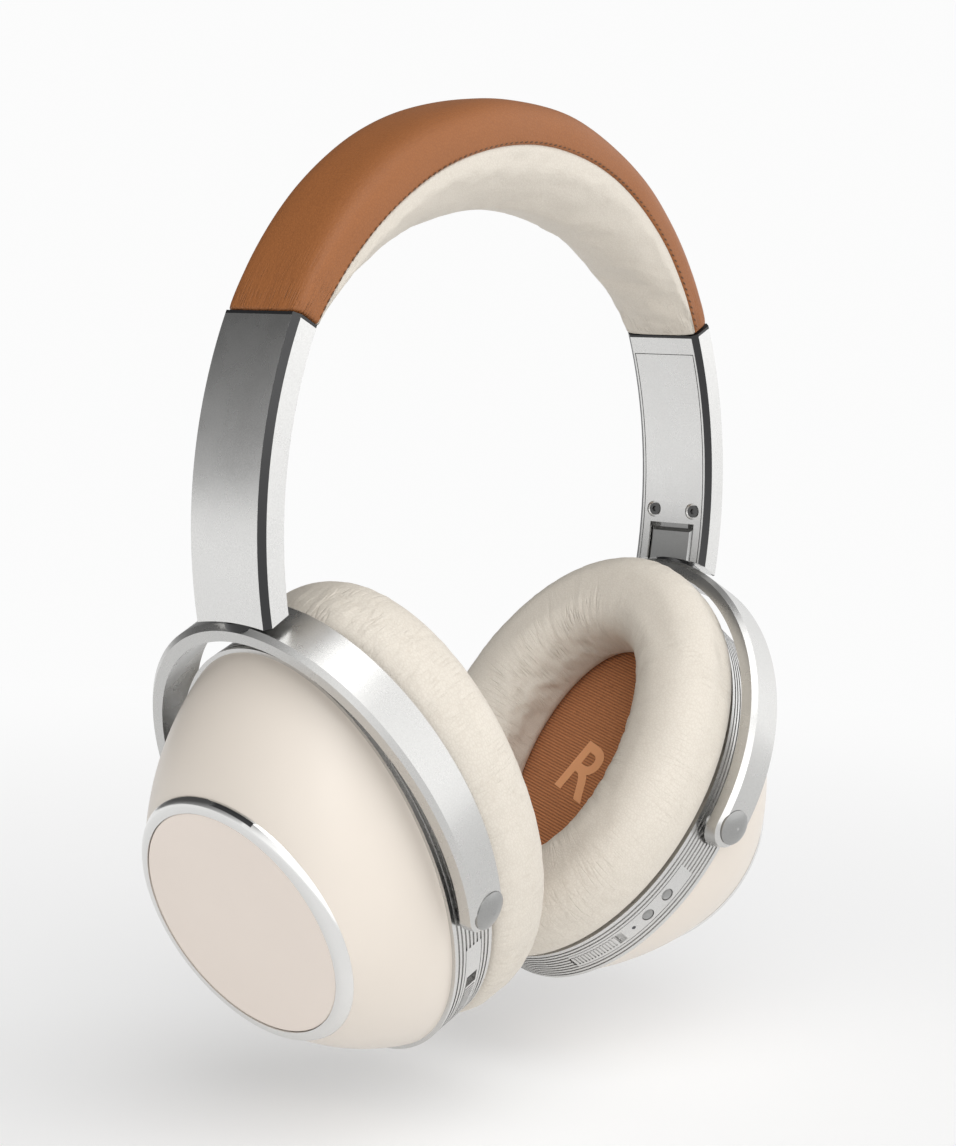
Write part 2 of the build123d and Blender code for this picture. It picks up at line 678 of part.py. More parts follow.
def build_swivel_washer(side_name):
    """Thin black disc between the arm's foot and the yoke."""
    side = SIDES[side_name]
    axis = Plane.XY.move(Location((SWIVEL_OFFSET, 0, 0)))
    upper = YOKE_TOP + FOOT_CLEARANCE - WASHER_TOP_GAP
    with BuildPart() as washer:
        round_bar(axis, WASHER_RADIUS, YOKE_TOP - WASHER_SEAT, upper)
        swivel_bore(axis)
    write(washer, f"swivel_washer_{side_name}", yoke_place(side))


def build_swivel_pin(side_name):
    """Steel pin held in the slider's foot, with a head under the yoke."""
    side = SIDES[side_name]
    axis = Plane.XY.move(Location((SWIVEL_OFFSET, 0, 0)))
    head_top = YOKE_TOP - YOKE_THICKNESS - PIN_HEAD_GAP
    with BuildPart() as pin:
        round_bar(axis, SWIVEL_PIN_RADIUS, head_top, YOKE_TOP + FOOT_CLEARANCE + SWIVEL_PIN_GRIP)
        round_bar(axis, SWIVEL_PIN_HEAD_RADIUS, head_top - SWIVEL_PIN_HEAD_HEIGHT, head_top)
    write(pin, f"swivel_pin_{side_name}", neutral_yoke_place(side))


def build_pivot_pins(side_name):
    inner, outer = PIVOT_PIN_Y
    with BuildPart() as pins:
        for front in (-1, 1):
            round_bar(Plane.XZ, PIVOT_PIN_RADIUS, front * inner, front * outer)
    write(pins, f"pivot_pins_{side_name}", yoke_place(SIDES[side_name]))


def build_pivot_caps(side_name):
    """Low domes set into the yoke's ends, over the pivot pins."""
    with BuildPart() as caps:
        for plane in cap_planes():
            with BuildSketch(Plane(plane.location * Plane.XZ.location)):
                with BuildLine():
                    Polyline((0, CAP_RISE), (0, -CAP_SEAT), (CAP_RADIUS, -CAP_SEAT),
                             (CAP_RADIUS, CAP_EDGE))
                    TangentArc((0, CAP_RISE), (CAP_RADIUS, CAP_EDGE), tangent=(1, 0))
                make_face()
            revolve(axis=Axis(plane.origin, plane.z_dir))
    write(caps, f"pivot_caps_{side_name}", yoke_place(SIDES[side_name]))


# ---------------------------------------------------------------- cups


def control_holes():
    """Holes for the buttons and the status light of the right cup, in the open BuildPart."""
    inner, outer = CONTROL_HOLE
    for angle in BUTTON_ANGLES.values():
        round_bar(rim_plane(1, angle), BUTTON_RADIUS + BUTTON_GAP, inner, outer, Mode.SUBTRACT)
    round_bar(rim_plane(1, LIGHT_ANGLE), LIGHT_RADIUS, inner, outer, Mode.SUBTRACT)


def build_cup_ring(side_name):
    """Ribbed hoop that carries everything else in the cup."""
    side = SIDES[side_name]
    first_groove = RIB_MIDDLE_X - RIB_PITCH * (RIB_GROOVES - 1) / 2
    with BuildPart() as ring:
        oval_band(RING_INNER_X, RING_OUTER_X, 0, RING_WALL)
        for index in range(RIB_GROOVES):
            middle = first_groove + index * RIB_PITCH
            oval_band(middle - GROOVE_WIDTH / 2, middle + GROOVE_WIDTH / 2, RING_WALL,
                      GROOVE_DEPTH, Mode.SUBTRACT)
        pivot_bores(BUSH_RADIUS)
    with BuildPart() as seat:
        oval_band(RIB_MIDDLE_X - STRIP_HALF_WIDTH, RIB_MIDDLE_X + STRIP_HALF_WIDTH, RING_WALL,
                  STRIP_DEPTH)
        rim_wedge(side, STRIP_SPAN[side], Mode.INTERSECT)
    with BuildPart() as finished:
        add(ring.part)
        add(seat.part, mode=Mode.SUBTRACT)
        switch_slot(side, SWITCH_PROUD - SWITCH_THICKNESS - SWITCH_FLOOR_GAP, Mode.SUBTRACT)
        if side > 0:
            control_holes()
        else:
            inner, outer = CONTROL_HOLE
            round_bar(rim_plane(side, JACK_ANGLE), JACK_RADIUS, inner, outer, Mode.SUBTRACT)
            with BuildSketch(rim_plane(side, USB_ANGLE).offset(inner)):
                SlotOverall(USB_OUTER[1], USB_OUTER[0], rotation=90)
            extrude(amount=outer - inner, mode=Mode.SUBTRACT)
    write(finished, f"cup_ring_{side_name}", cup_place(side))


def build_pivot_bushes(side_name):
    inner, outer = BUSH_Y
    with BuildPart() as bushes:
        for front in (-1, 1):
            round_bar(Plane.XZ, BUSH_RADIUS, front * inner, front * outer)
        pivot_bores(PIVOT_PIN_RADIUS + RUNNING_GAP)
    write(bushes, f"pivot_bushes_{side_name}", cup_place(SIDES[side_name]))


def cone_solid(inset):
    """Swelling loft from an oval at the ring to a circle at the disc."""
    with BuildSketch(Plane.YZ.offset(RING_OUTER_X)) as base:
        with Locations((0, RING_CENTRE)):
            Ellipse(RING_REACH - CONE_STEP - inset, RING_RISE - CONE_STEP - inset)
    with BuildSketch(Plane.YZ.offset(CONE_MIDDLE_X)) as middle:
        with Locations((0, CONE_MIDDLE_CENTRE)):
            Ellipse(CONE_MIDDLE_REACH - inset, CONE_MIDDLE_RISE - inset)
    with BuildSketch(Plane.YZ.offset(BEZEL_X)) as mouth:
        with Locations((0, DISC_CENTRE)):
            Circle(BEZEL_RADIUS - BEZEL_GAP - inset)
    mode = Mode.ADD if inset == 0 else Mode.SUBTRACT
    loft([base.sketch.face(), middle.sketch.face(), mouth.sketch.face()], mode=mode)


def post_locations():
    """Centres of the four screw posts in the cup."""
    return GridLocations(*POST_SPACING, 2, 2)


def build_cup_cone(side_name):
    """Thin cream shell from the ring to the disc, with four screw posts inside."""
    with BuildPart() as posts:
        cone_solid(0)
        with BuildSketch(Plane.YZ.offset(RING_OUTER_X)):
            with Locations((0, RING_CENTRE)):
                with post_locations():
                    Circle(POST_RADIUS)
        extrude(amount=POST_END_X - RING_OUTER_X, mode=Mode.INTERSECT)
        with BuildSketch(Plane.YZ.offset(RING_INNER_X + BAFFLE_THICKNESS)):
            with Locations((0, RING_CENTRE)):
                with post_locations():
                    Circle(POST_RADIUS)
        extrude(amount=RING_OUTER_X - RING_INNER_X - BAFFLE_THICKNESS)
    with BuildPart() as cone:
        cone_solid(0)
        cone_solid(CONE_WALL)
        add(posts.part)
        with BuildSketch(Plane.YZ.offset(RING_INNER_X)):
            with Locations((0, RING_CENTRE)):
                with post_locations():
                    Circle(SCREW_SHANK_RADIUS)
        extrude(amount=BAFFLE_SCREW_LENGTH + SCREW_HEAD_HEIGHT + 2.5, mode=Mode.SUBTRACT)
    write(cone, f"cup_cone_{side_name}", cup_place(SIDES[side_name]))


def disc_axis():
    return Axis((0, 0, DISC_CENTRE), (1, 0, 0))


def mic_slot(side, depth, mode):
    """Sector of the bezel's flank where the microphone slot is."""
    start = 180 - MIC_SLOT_ANGLE if side > 0 else MIC_SLOT_ANGLE
    inner, outer = MIC_SLOT_X
    reach = BEZEL_RADIUS * 2
    with BuildSketch(Plane.YZ.offset(inner)) as sector:
        with Locations((0, DISC_CENTRE)):
            Circle(BEZEL_RADIUS + 1 if mode == Mode.SUBTRACT else BEZEL_RADIUS - 0.6 * depth)
            Circle(BEZEL_RADIUS - depth, mode=Mode.SUBTRACT)
        with BuildLine():
            edges = [start - MIC_SLOT_HALF_ANGLE, start + MIC_SLOT_HALF_ANGLE]
            ends = [
                (reach * cos(radians(edge)), DISC_CENTRE + reach * sin(radians(edge)))
                for edge in edges
            ]
            Polyline((0, DISC_CENTRE), *ends, close=True)
        make_face(mode=Mode.INTERSECT)
    extrude(sector.sketch, amount=outer - inner, mode=mode)


def build_bezel(side_name):
    """Polished ring round the disc, with a rounded face and a slot in its flank."""
    side = SIDES[side_name]
    rim = DISC_CENTRE + DISC_RADIUS
    with BuildPart() as bezel:
        with BuildSketch(Plane.XZ):
            with BuildLine():
                Polyline(
                    (BEZEL_X + BEZEL_FLANK, DISC_CENTRE + BEZEL_RADIUS),
                    (BEZEL_X, DISC_CENTRE + BEZEL_RADIUS),
                    (BEZEL_X, rim - BEZEL_LIP),
                    (DISC_X - DISC_THICKNESS, rim - BEZEL_LIP),
                    (DISC_X - DISC_THICKNESS, rim + BEZEL_GAP),
                    (BEZEL_FACE_X, rim + BEZEL_GAP),
                    (BEZEL_FACE_X, rim + BEZEL_LAND),
                )
                TangentArc(
                    (BEZEL_FACE_X, rim + BEZEL_LAND),
                    (BEZEL_X + BEZEL_FLANK, DISC_CENTRE + BEZEL_RADIUS),
                    tangent=(0, 1),
                )
            make_face()
        revolve(axis=disc_axis())
        mic_slot(side, MIC_SLOT_DEPTH, Mode.SUBTRACT)
    write(bezel, f"bezel_{side_name}", cup_place(side))


def build_mic_mesh(side_name):
    """Black mesh strip at the bottom of the bezel's slot."""
    side = SIDES[side_name]
    with BuildPart() as mesh:
        mic_slot(side, MIC_SLOT_DEPTH, Mode.ADD)
    write(mesh, f"mic_mesh_{side_name}", cup_place(side))


def build_disc(side_name):
    """Flat round plate on the outside of the cup."""
    with BuildPart() as disc:
        with BuildSketch(Plane.YZ.offset(DISC_X - DISC_THICKNESS)):
            with Locations((0, DISC_CENTRE)):
                Circle(DISC_RADIUS)
        extrude(amount=DISC_THICKNESS)
        chamfer(disc.faces().sort_by(Axis.X)[-1].edges(), 0.2)
    write(disc, f"disc_{side_name}", cup_place(SIDES[side_name]))


def build_baffle(side_name):
    """Plate that closes the ear side of the cup and carries the driver."""
    with BuildPart() as baffle:
        with BuildSketch(Plane.YZ.offset(RING_INNER_X)):
            with Locations((0, RING_CENTRE)):
                Ellipse(RING_REACH - BAFFLE_INSET, RING_RISE - BAFFLE_INSET)
                Circle(DRIVER_HOLE_RADIUS, mode=Mode.SUBTRACT)
                with post_locations():
                    Circle(SCREW_SHANK_RADIUS + SCREW_GAP, mode=Mode.SUBTRACT)
        extrude(amount=BAFFLE_THICKNESS)
        with BuildSketch(Plane.YZ.offset(RING_INNER_X)):
            with Locations((0, RING_CENTRE)):
                with post_locations():
                    Circle(SCREW_HEAD_RADIUS + SCREW_GAP)
        extrude(amount=SCREW_HEAD_HEIGHT, mode=Mode.SUBTRACT)
    write(baffle, f"baffle_{side_name}", cup_place(SIDES[side_name]))


def build_baffle_screws(side_name):
    with BuildPart() as screws:
        for radius, start, length in (
            (SCREW_HEAD_RADIUS, RING_INNER_X, SCREW_HEAD_HEIGHT),
            (SCREW_SHANK_RADIUS, RING_INNER_X + SCREW_HEAD_HEIGHT, BAFFLE_SCREW_LENGTH),
        ):
            with BuildSketch(Plane.YZ.offset(start)):
                with Locations((0, RING_CENTRE)):
                    with post_locations():
                        Circle(radius)
            extrude(amount=length)
    write(screws, f"baffle_screws_{side_name}", cup_place(SIDES[side_name]))


def driver_axis():
    return Axis((0, 0, RING_CENTRE), (1, 0, 0))


def revolved_profile(points):
    """Turn a profile of (x, radius) points about the driver's axis."""
    with BuildSketch(Plane.XZ) as profile:
        with BuildLine():
            Polyline(*[(x, RING_CENTRE + radius) for x, radius in points], close=True)
        make_face()
    revolve(profile.sketch, axis=driver_axis())


def build_driver_frame(side_name):
    """Basket of the 40 mm driver, seated on the back of the baffle."""
    seat = RING_INNER_X + BAFFLE_THICKNESS
    waist = MAGNET_X[0] + DRIVER_WALL
    with BuildPart() as frame:
        revolved_profile([
            (seat, DRIVER_RADIUS), (seat + 2.0, DRIVER_RADIUS), (waist, DRIVER_WAIST_RADIUS),
            (waist, MAGNET_RADIUS), (MAGNET_X[0], MAGNET_RADIUS),
            (seat + 1.0, DRIVER_MOUTH_RADIUS), (seat, DRIVER_MOUTH_RADIUS),
        ])
    write(frame, f"driver_frame_{side_name}", cup_place(SIDES[side_name]))


def build_driver_magnet(side_name):
    start, end = MAGNET_X
    with BuildPart() as magnet:
        with BuildSketch(Plane.YZ.offset(start)):
            with Locations((0, RING_CENTRE)):
                Circle(MAGNET_RADIUS)
        extrude(amount=end - start)
        chamfer(magnet.faces().sort_by(Axis.X)[-1].edges(), 0.6)
    write(magnet, f"driver_magnet_{side_name}", cup_place(SIDES[side_name]))


def build_diaphragm(side_name):
    """Thin cone with a domed middle, across the mouth of the driver."""
    seat = RING_INNER_X + BAFFLE_THICKNESS
    edge, valley, shoulder = seat + SEAT_GAP, seat + 1.6, seat + 0.4
    back_edge, back_valley, back_shoulder, back = (
        place + FILM_THICKNESS for place in (edge, valley, shoulder, seat)
    )
    with BuildPart() as diaphragm:
        revolved_profile([
            (edge, DRIVER_MOUTH_RADIUS), (back_edge, DRIVER_MOUTH_RADIUS),
            (back_valley, DOME_RADIUS), (back_shoulder, DOME_RADIUS / 2), (back, 0.0),
            (seat, 0.0), (shoulder, DOME_RADIUS / 2), (valley, DOME_RADIUS),
        ])
    write(diaphragm, f"diaphragm_{side_name}", cup_place(SIDES[side_name]))


def build_ear_screen(side_name):
    """Fabric sheet on a thin plate between the pad and the baffle."""
    with BuildPart() as screen:
        with BuildSketch(Plane.YZ.offset(PAD_BACK_X)):
            with Locations((0, RING_CENTRE)):
                Ellipse(RING_REACH - SCREEN_INSET, RING_RISE - SCREEN_INSET)
        extrude(amount=SCREEN_THICKNESS)
    write(screen, f"ear_screen_{side_name}", cup_place(SIDES[side_name]))


def build_ear_pad(side_name):
    """Padded rim round the ear."""
    rim_outer = (RING_REACH + PAD_OVERHANG, RING_RISE + PAD_OVERHANG)
    rim_inner = (rim_outer[0] - PAD_RIM_WIDTH, rim_outer[1] - PAD_RIM_WIDTH)
    with BuildPart() as pad:
        with BuildSketch(Plane.YZ.offset(PAD_FRONT_X)):
            with Locations((0, RING_CENTRE)):
                Ellipse(*rim_outer)
                Ellipse(*rim_inner, mode=Mode.SUBTRACT)
        extrude(amount=PAD_BACK_X - PAD_FRONT_X)
        fillet(pad.faces().sort_by(Axis.X)[0].edges(), PAD_FRONT_ROUNDING)
        back = pad.faces().sort_by(Axis.X)[-1].edges().sort_by(SortBy.LENGTH)[-1]
        fillet(back, PAD_BACK_ROUNDING)
    write(pad, f"ear_pad_{side_name}", cup_place(SIDES[side_name]))


def block(size, x_from):
    """Rounded block flat against the back of the magnet."""
    width, height, depth = size
    with BuildSketch(Plane.YZ.offset(x_from)) as outline:
        with Locations((0, DISC_CENTRE)):
            RectangleRounded(width, height, BLOCK_CORNER)
    extrude(outline.sketch, amount=depth)


def build_circuit_board():
    with BuildPart() as board:
        block(BOARD_SIZE, MAGNET_X[1])
    write(board, "circuit_board", cup_place(1))


def build_battery():
    with BuildPart() as battery:
        block(BATTERY_SIZE, MAGNET_X[1])
        fillet(battery.edges().filter_by(Axis.X, reverse=True), BATTERY_ROUNDING)
    write(battery, "battery", cup_place(-1))


# ---------------------------------------------------------------- controls


def switch_sector(side, radii, half_width, span_length, shift, mode=Mode.ADD):
    """Curved block about the switch's own arc, span_length long and shifted along it."""
    y, z, radius = switch_circle(side)
    middle = sum(SWITCH_SPAN[side]) / 2
    normal = rim_plane(side, middle).z_dir
    heading = atan2(normal.Z, normal.Y) + shift / radius
    half = span_length / radius / 2
    inner, outer = radius + radii[0], radius + radii[1]

    def point(distance, angle):
        return (y + distance * cos(angle), z + distance * sin(angle))

    with BuildSketch(Plane.YZ.offset(RIB_MIDDLE_X)) as sector:
        with BuildLine():
            ThreePointArc(point(outer, heading - half), point(outer, heading),
                          point(outer, heading + half))
            Line(point(outer, heading + half), point(inner, heading + half))
            ThreePointArc(point(inner, heading + half), point(inner, heading),
                          point(inner, heading - half))
            Line(point(inner, heading - half), point(outer, heading - half))
        make_face()
    extrude(sector.sketch, amount=half_width, both=True, mode=mode)


def rim_length(side, span):
    """Length along the ring's rim over a short span of angles."""
    radius = switch_circle(side)[2]
    first, last = (rim_plane(side, angle).z_dir for angle in span)
    return radius * radians(first.get_angle(last))


def switch_slot(side, floor, mode):
    """Slot for the slide switch down to a floor below the rim."""
    slot = SLOT_SPAN[side]
    length = rim_length(side, slot)
    shift = (sum(SWITCH_SPAN[side]) - sum(slot)) / (slot[1] - slot[0]) / 2 * length
    switch_sector(side, (floor, 3), SWITCH_SLOT_HALF_WIDTH, length, -side * shift, mode)


def build_control_strip(side_name):
    """Smooth strip let into the ribs, with holes for the controls."""
    side = SIDES[side_name]
    with BuildPart() as strip:
        oval_band(RIB_MIDDLE_X - STRIP_HALF_WIDTH, RIB_MIDDLE_X + STRIP_HALF_WIDTH, 0, STRIP_DEPTH)
        rim_wedge(side, STRIP_SPAN[side], Mode.INTERSECT)
        switch_slot(side, -RING_WALL, Mode.SUBTRACT)
        if side > 0:
            control_holes()
    write(strip, f"control_strip_{side_name}", cup_place(side))


def build_slide_switch(side_name):
    """Serrated slider in the control strip."""
    side = SIDES[side_name]
    length = rim_length(side, SWITCH_SPAN[side])
    y, z, radius = switch_circle(side)
    normal = rim_plane(side, sum(SWITCH_SPAN[side]) / 2).z_dir
    heading = degrees(atan2(normal.Z, normal.Y))
    spread = degrees(length / radius) * (SWITCH_TEETH - 1) / (SWITCH_TEETH + 1)
    with BuildPart() as switch:
        switch_sector(side, (SWITCH_PROUD - SWITCH_THICKNESS, SWITCH_PROUD), SWITCH_HALF_WIDTH,
                      length, 0)
        with BuildSketch(Plane.YZ.offset(RIB_MIDDLE_X)):
            for index in range(SWITCH_TEETH):
                turn = heading + spread * (index / (SWITCH_TEETH - 1) - 0.5)
                surface = radius + SWITCH_PROUD
                middle = (y + surface * cos(radians(turn)), z + surface * sin(radians(turn)))
                with Locations(Location(middle, turn)):
                    Rectangle(2 * SWITCH_TOOTH_DEPTH, SWITCH_TOOTH_GAP)
        extrude(amount=5, both=True, mode=Mode.SUBTRACT)
    write(switch, f"slide_switch_{side_name}", cup_place(side))


def build_button(name):
    """Round button with a dished top, a little below the strip."""
    plane = rim_plane(1, BUTTON_ANGLES[name])
    with BuildPart() as button:
        round_bar(plane, BUTTON_RADIUS, -BUTTON_RECESS - BUTTON_LENGTH, -BUTTON_RECESS)
        chamfer(button.edges().filter_by(GeomType.CIRCLE), BUTTON_CHAMFER)
        height = BUTTON_DISH_RADIUS - BUTTON_RECESS - BUTTON_DISH_DEPTH
        with Locations(plane.origin + plane.z_dir * height):
            Sphere(BUTTON_DISH_RADIUS, mode=Mode.SUBTRACT)
    write(button, name, cup_place(1))


def build_status_light():
    with BuildPart() as light:
        round_bar(rim_plane(1, LIGHT_ANGLE), LIGHT_RADIUS, *LIGHT_SPAN)
    write(light, "status_light", cup_place(1))


def build_jack_socket():
    """Barrel of the 3.5 mm audio socket, open at the ring's outer face."""
    plane = rim_plane(-1, JACK_ANGLE)
    with BuildPart() as socket:
        round_bar(plane, JACK_RADIUS, -JACK_LENGTH - JACK_END_WALL, -SOCKET_RECESS)
        round_bar(plane, JACK_BORE_RADIUS, -JACK_LENGTH, CONTROL_HOLE[1], Mode.SUBTRACT)
    write(socket, "jack_socket", cup_place(-1))


def build_usb_socket():
    """Charging socket: an oval metal shell with a tongue inside."""
    plane = rim_plane(-1, USB_ANGLE)
    width, length = USB_OUTER
    tongue_thickness, tongue_width, tongue_length = USB_TONGUE
    with BuildPart() as socket:
        with BuildSketch(plane.offset(-USB_LENGTH)):
            SlotOverall(length, width, rotation=90)
        extrude(amount=USB_LENGTH - SOCKET_RECESS)
        with BuildSketch(plane.offset(USB_END_WALL - USB_LENGTH)):
            SlotOverall(length - 2 * USB_WALL, width - 2 * USB_WALL, rotation=90)
        extrude(amount=USB_LENGTH, mode=Mode.SUBTRACT)
        with BuildSketch(plane.offset(USB_END_WALL - SOCKET_RECESS - USB_LENGTH)):
            Rectangle(tongue_thickness, tongue_width)
        extrude(amount=tongue_length)
    write(socket, "usb_socket", cup_place(-1))


# ---------------------------------------------------------------- all sub-parts

build_headband_strap()
build_headband_cover()
build_headband_foam()
build_headband_cushion()
build_headband_collars()
build_arm_screws()
build_arm_inlays()
for label in SIDES:
    build_arm(label)
    build_arm_cover(label)
    build_height_slider(label)
    build_swivel_pin(label)
    build_swivel_washer(label)
    build_yoke(label)
    build_pivot_pins(label)
    build_pivot_caps(label)
    build_cup_ring(label)
    build_pivot_bushes(label)
    build_cup_cone(label)
    build_bezel(label)
    build_mic_mesh(label)
    build_disc(label)
    build_baffle(label)
    build_baffle_screws(label)
    build_driver_frame(label)
    build_driver_magnet(label)
    build_diaphragm(label)
    build_ear_screen(label)
    build_ear_pad(label)
    build_control_strip(label)
    build_slide_switch(label)
build_circuit_board()
build_battery()
for label in BUTTON_ANGLES:
    build_button(label)
build_status_light()
build_jack_socket()
build_usb_socket()
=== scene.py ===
import json
from math import cos, pi, radians, sin, sqrt

import bpy
import numpy as np
from mathutils import Matrix, Vector, noise


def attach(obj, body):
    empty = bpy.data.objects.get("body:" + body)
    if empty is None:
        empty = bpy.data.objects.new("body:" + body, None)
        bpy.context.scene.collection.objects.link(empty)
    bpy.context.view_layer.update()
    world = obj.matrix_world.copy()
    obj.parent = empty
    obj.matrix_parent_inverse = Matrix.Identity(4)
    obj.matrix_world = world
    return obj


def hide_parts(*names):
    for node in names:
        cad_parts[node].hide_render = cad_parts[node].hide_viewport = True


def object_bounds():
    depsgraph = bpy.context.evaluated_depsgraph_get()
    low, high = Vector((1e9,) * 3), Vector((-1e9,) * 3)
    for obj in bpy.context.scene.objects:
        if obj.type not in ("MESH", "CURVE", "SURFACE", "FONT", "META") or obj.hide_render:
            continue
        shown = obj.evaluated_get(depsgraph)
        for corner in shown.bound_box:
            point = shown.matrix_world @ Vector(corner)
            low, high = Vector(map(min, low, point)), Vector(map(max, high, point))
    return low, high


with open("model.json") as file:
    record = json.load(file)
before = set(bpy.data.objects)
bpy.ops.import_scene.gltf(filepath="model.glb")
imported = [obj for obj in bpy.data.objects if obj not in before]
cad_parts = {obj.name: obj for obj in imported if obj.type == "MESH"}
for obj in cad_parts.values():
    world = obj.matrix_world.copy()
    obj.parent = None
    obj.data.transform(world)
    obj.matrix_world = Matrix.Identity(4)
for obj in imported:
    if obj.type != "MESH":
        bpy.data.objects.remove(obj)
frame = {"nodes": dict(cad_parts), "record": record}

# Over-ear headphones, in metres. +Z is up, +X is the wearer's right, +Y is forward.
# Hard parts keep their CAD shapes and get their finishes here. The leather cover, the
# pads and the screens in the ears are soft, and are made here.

CAD_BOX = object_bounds()
SIDES = {"left": -1, "right": 1}
JOINTS = {joint["name"]: joint for joint in frame["record"]["behaviour"]["joints"]}
MM = 0.001

# ---- headband ----
ARM_INNER_RADIUS = 90.6 * MM
ARM_OUTER_RADIUS = 98.2 * MM
PADDING_END_ANGLE = radians(25)
CROWN_HEIGHT = 23.2 * MM
SEAM_HEIGHT = 13.2 * MM
CUSHION_END_THICKNESS = 1.0 * MM
BAND_HALF_WIDTH = 13.4 * MM
ARM_HALF_WIDTH = 10.15 * MM
BAND_GIRTH = 2.6 * BAND_HALF_WIDTH * 2
BAND_END = 0.985  # share of the way from crown to end where the tucked part begins
COVER_BOXINESS = 3.1
COVER_END_BOXINESS = 3.4
COVER_END_TUCK = 0.035
CUSHION_BOXINESS = 2.5
CUSHION_END_BOXINESS = 1.5
CUSHION_INSET = 0.35 * MM
COVER_ROWS = 220
COVER_COLUMNS = 84
COVER_GATHER_START = 0.8
CUSHION_ROWS = 180
CUSHION_COLUMNS = 64
CUSHION_GATHER_START = 0.72
STITCH_PITCH = 1.75 * MM
STITCH_LENGTH = 1.15 * MM
STITCH_RADIUS = 0.17 * MM
STITCH_SINK = 0.02 * MM
STITCH_RISE = 0.35 * MM
STITCH_SLANT = 0.12 * MM
STITCH_TURN_HEIGHT = 82.5 * MM

# ---- ear cups, in a frame at the pivots: x outwards, z up the cup ----
RING_RISE = 49.3 * MM
RING_REACH = 36.5 * MM
RING_CENTRE = 7.1 * MM
PAD_OVERHANG = 1.9 * MM
PAD_RIM_WIDTH = 20.8 * MM
PAD_BACK_X = -6.75 * MM
PAD_FRONT_X = -26.8 * MM
PAD_FRONT_BOXINESS = 2.25
PAD_BACK_BOXINESS = 5.0
PAD_ROWS = 260
PAD_COLUMNS = 64
PAD_SEEDS = {"left": 21, "right": 37}
PUCKER_SIZE = 1.7 * MM
PUCKER_DEPTH = 0.27
FINE_PUCKER_SIZE = 0.9 * MM
FINE_PUCKER_DEPTH = 0.15
SWELL_SIZE = 14 * MM
SWELL_DEPTH = 0.1
SCREEN_INSET = 7.0 * MM
SCREEN_X = -6.75 * MM
SCREEN_BULGE = 0.9 * MM
SCREEN_RINGS = 26
SCREEN_COLUMNS = 120
LETTER_HEIGHT = 13.8 * MM
CAPITAL_SHARE = 0.72
LETTER_FORWARD = 1.3 * MM
LETTER_TURN = radians(23)
LETTER_BOLDNESS = 0.016
LETTER_BELOW_CENTRE = 2.0 * MM
LETTER_GAP = 0.06 * MM
INK_THICKNESS = 0.03 * MM

# ---- camera and floor ----
CAMERA_AZIMUTH = radians(-52.23)
CAMERA_ELEVATION = radians(5.83)
CAMERA_ROLL = radians(1.49)
CAMERA_DISTANCE = 0.5454
CAMERA_TARGET = Vector((-0.00203, 0.0, -0.0812))
CAMERA_LENS = 76.65
FLOOR_GAP = 14 * MM
FLOOR_REACH = 30.0
FLOOR_FADE = (0.08, 0.62)
FLOOR_GLOW = 0.25

# ---- light: the room's brightness against how far a direction faces the bright side ----
BACKGROUND = (0.97, 0.97, 0.97)
BRIGHT_SIDE = (0.0, -0.75, -0.66)
ROOM_STRENGTH = 1.5
ROOM_LIGHT = ((-1.0, 0.05), (-0.82, 0.10), (-0.5, 0.34), (-0.3, 0.72), (0.4, 0.98), (1.0, 0.9))
LIGHTS = (
    ("overhead", (-0.25, -0.35, 1.1), 0.9, 4.0),
    ("left_rear", (-0.9, -0.9, 0.55), 0.7, 2.2),
)


# ---------------------------------------------------------------- meshes


def add_object(name, data):
    """Put a mesh, a text, a lens or a lamp into the scene."""
    made = bpy.data.objects.new(name, data)
    bpy.context.scene.collection.objects.link(made)
    return made


def grid_piece(name, points, uvs, close_rows=False, close_columns=False, caps=False):
    """Mesh from an array of points in rows and columns. Its UVs are in metres."""
    rows, columns = points.shape[:2]
    row_steps = rows if close_rows else rows - 1
    column_steps = columns if close_columns else columns - 1
    row, column = np.meshgrid(np.arange(row_steps), np.arange(column_steps), indexing="ij")
    next_row = (row + 1) % rows
    next_column = (column + 1) % columns
    corners = ((row, column), (row, next_column), (next_row, next_column), (next_row, column))
    faces = np.stack([r * columns + c for r, c in corners], axis=-1).reshape(-1, 4).tolist()
    if caps:
        faces.append(list(range(columns - 1, -1, -1)))
        faces.append([(rows - 1) * columns + c for c in range(columns)])
    mesh = bpy.data.meshes.new(name)
    mesh.from_pydata(points.reshape(-1, 3).tolist(), [], faces)
    layer = mesh.uv_layers.new(name="metres")
    places = ((row, column), (row, column + 1), (row + 1, column + 1), (row + 1, column))
    quads = np.stack([uvs[r, c] for r, c in places], axis=2).reshape(-1, 2)
    full = np.zeros((len(mesh.loops), 2))
    full[: len(quads)] = quads
    layer.data.foreach_set("uv", full.ravel())
    mesh.update()
    mesh.validate()
    piece = add_object(name, mesh)
    smooth(piece)
    return piece


def smooth(piece):
    piece.data.polygons.foreach_set("use_smooth", [True] * len(piece.data.polygons))


def length_along(points):
    """Distance of each point from the first, along the line through them."""
    steps = np.linalg.norm(np.diff(points, axis=0), axis=1)
    return np.concatenate([[0], np.cumsum(steps)])


def even_loop(points, count):
    """Count points evenly along the closed outline through points, and its length."""
    closed = np.vstack([points, points[:1]])
    along = length_along(closed)
    wanted = np.linspace(0, along[-1], count, endpoint=False)
    even = np.stack([np.interp(wanted, along, closed[:, axis]) for axis in range(2)], axis=1)
    return even, along[-1]


def superellipse(angle, half_width, half_height, power):
    """Point of a rounded box outline at an angle, or at an array of angles."""
    across = half_width * np.sign(np.cos(angle)) * np.abs(np.cos(angle)) ** (2 / power)
    up = half_height * np.sign(np.sin(angle)) * np.abs(np.sin(angle)) ** (2 / power)
    return across, up


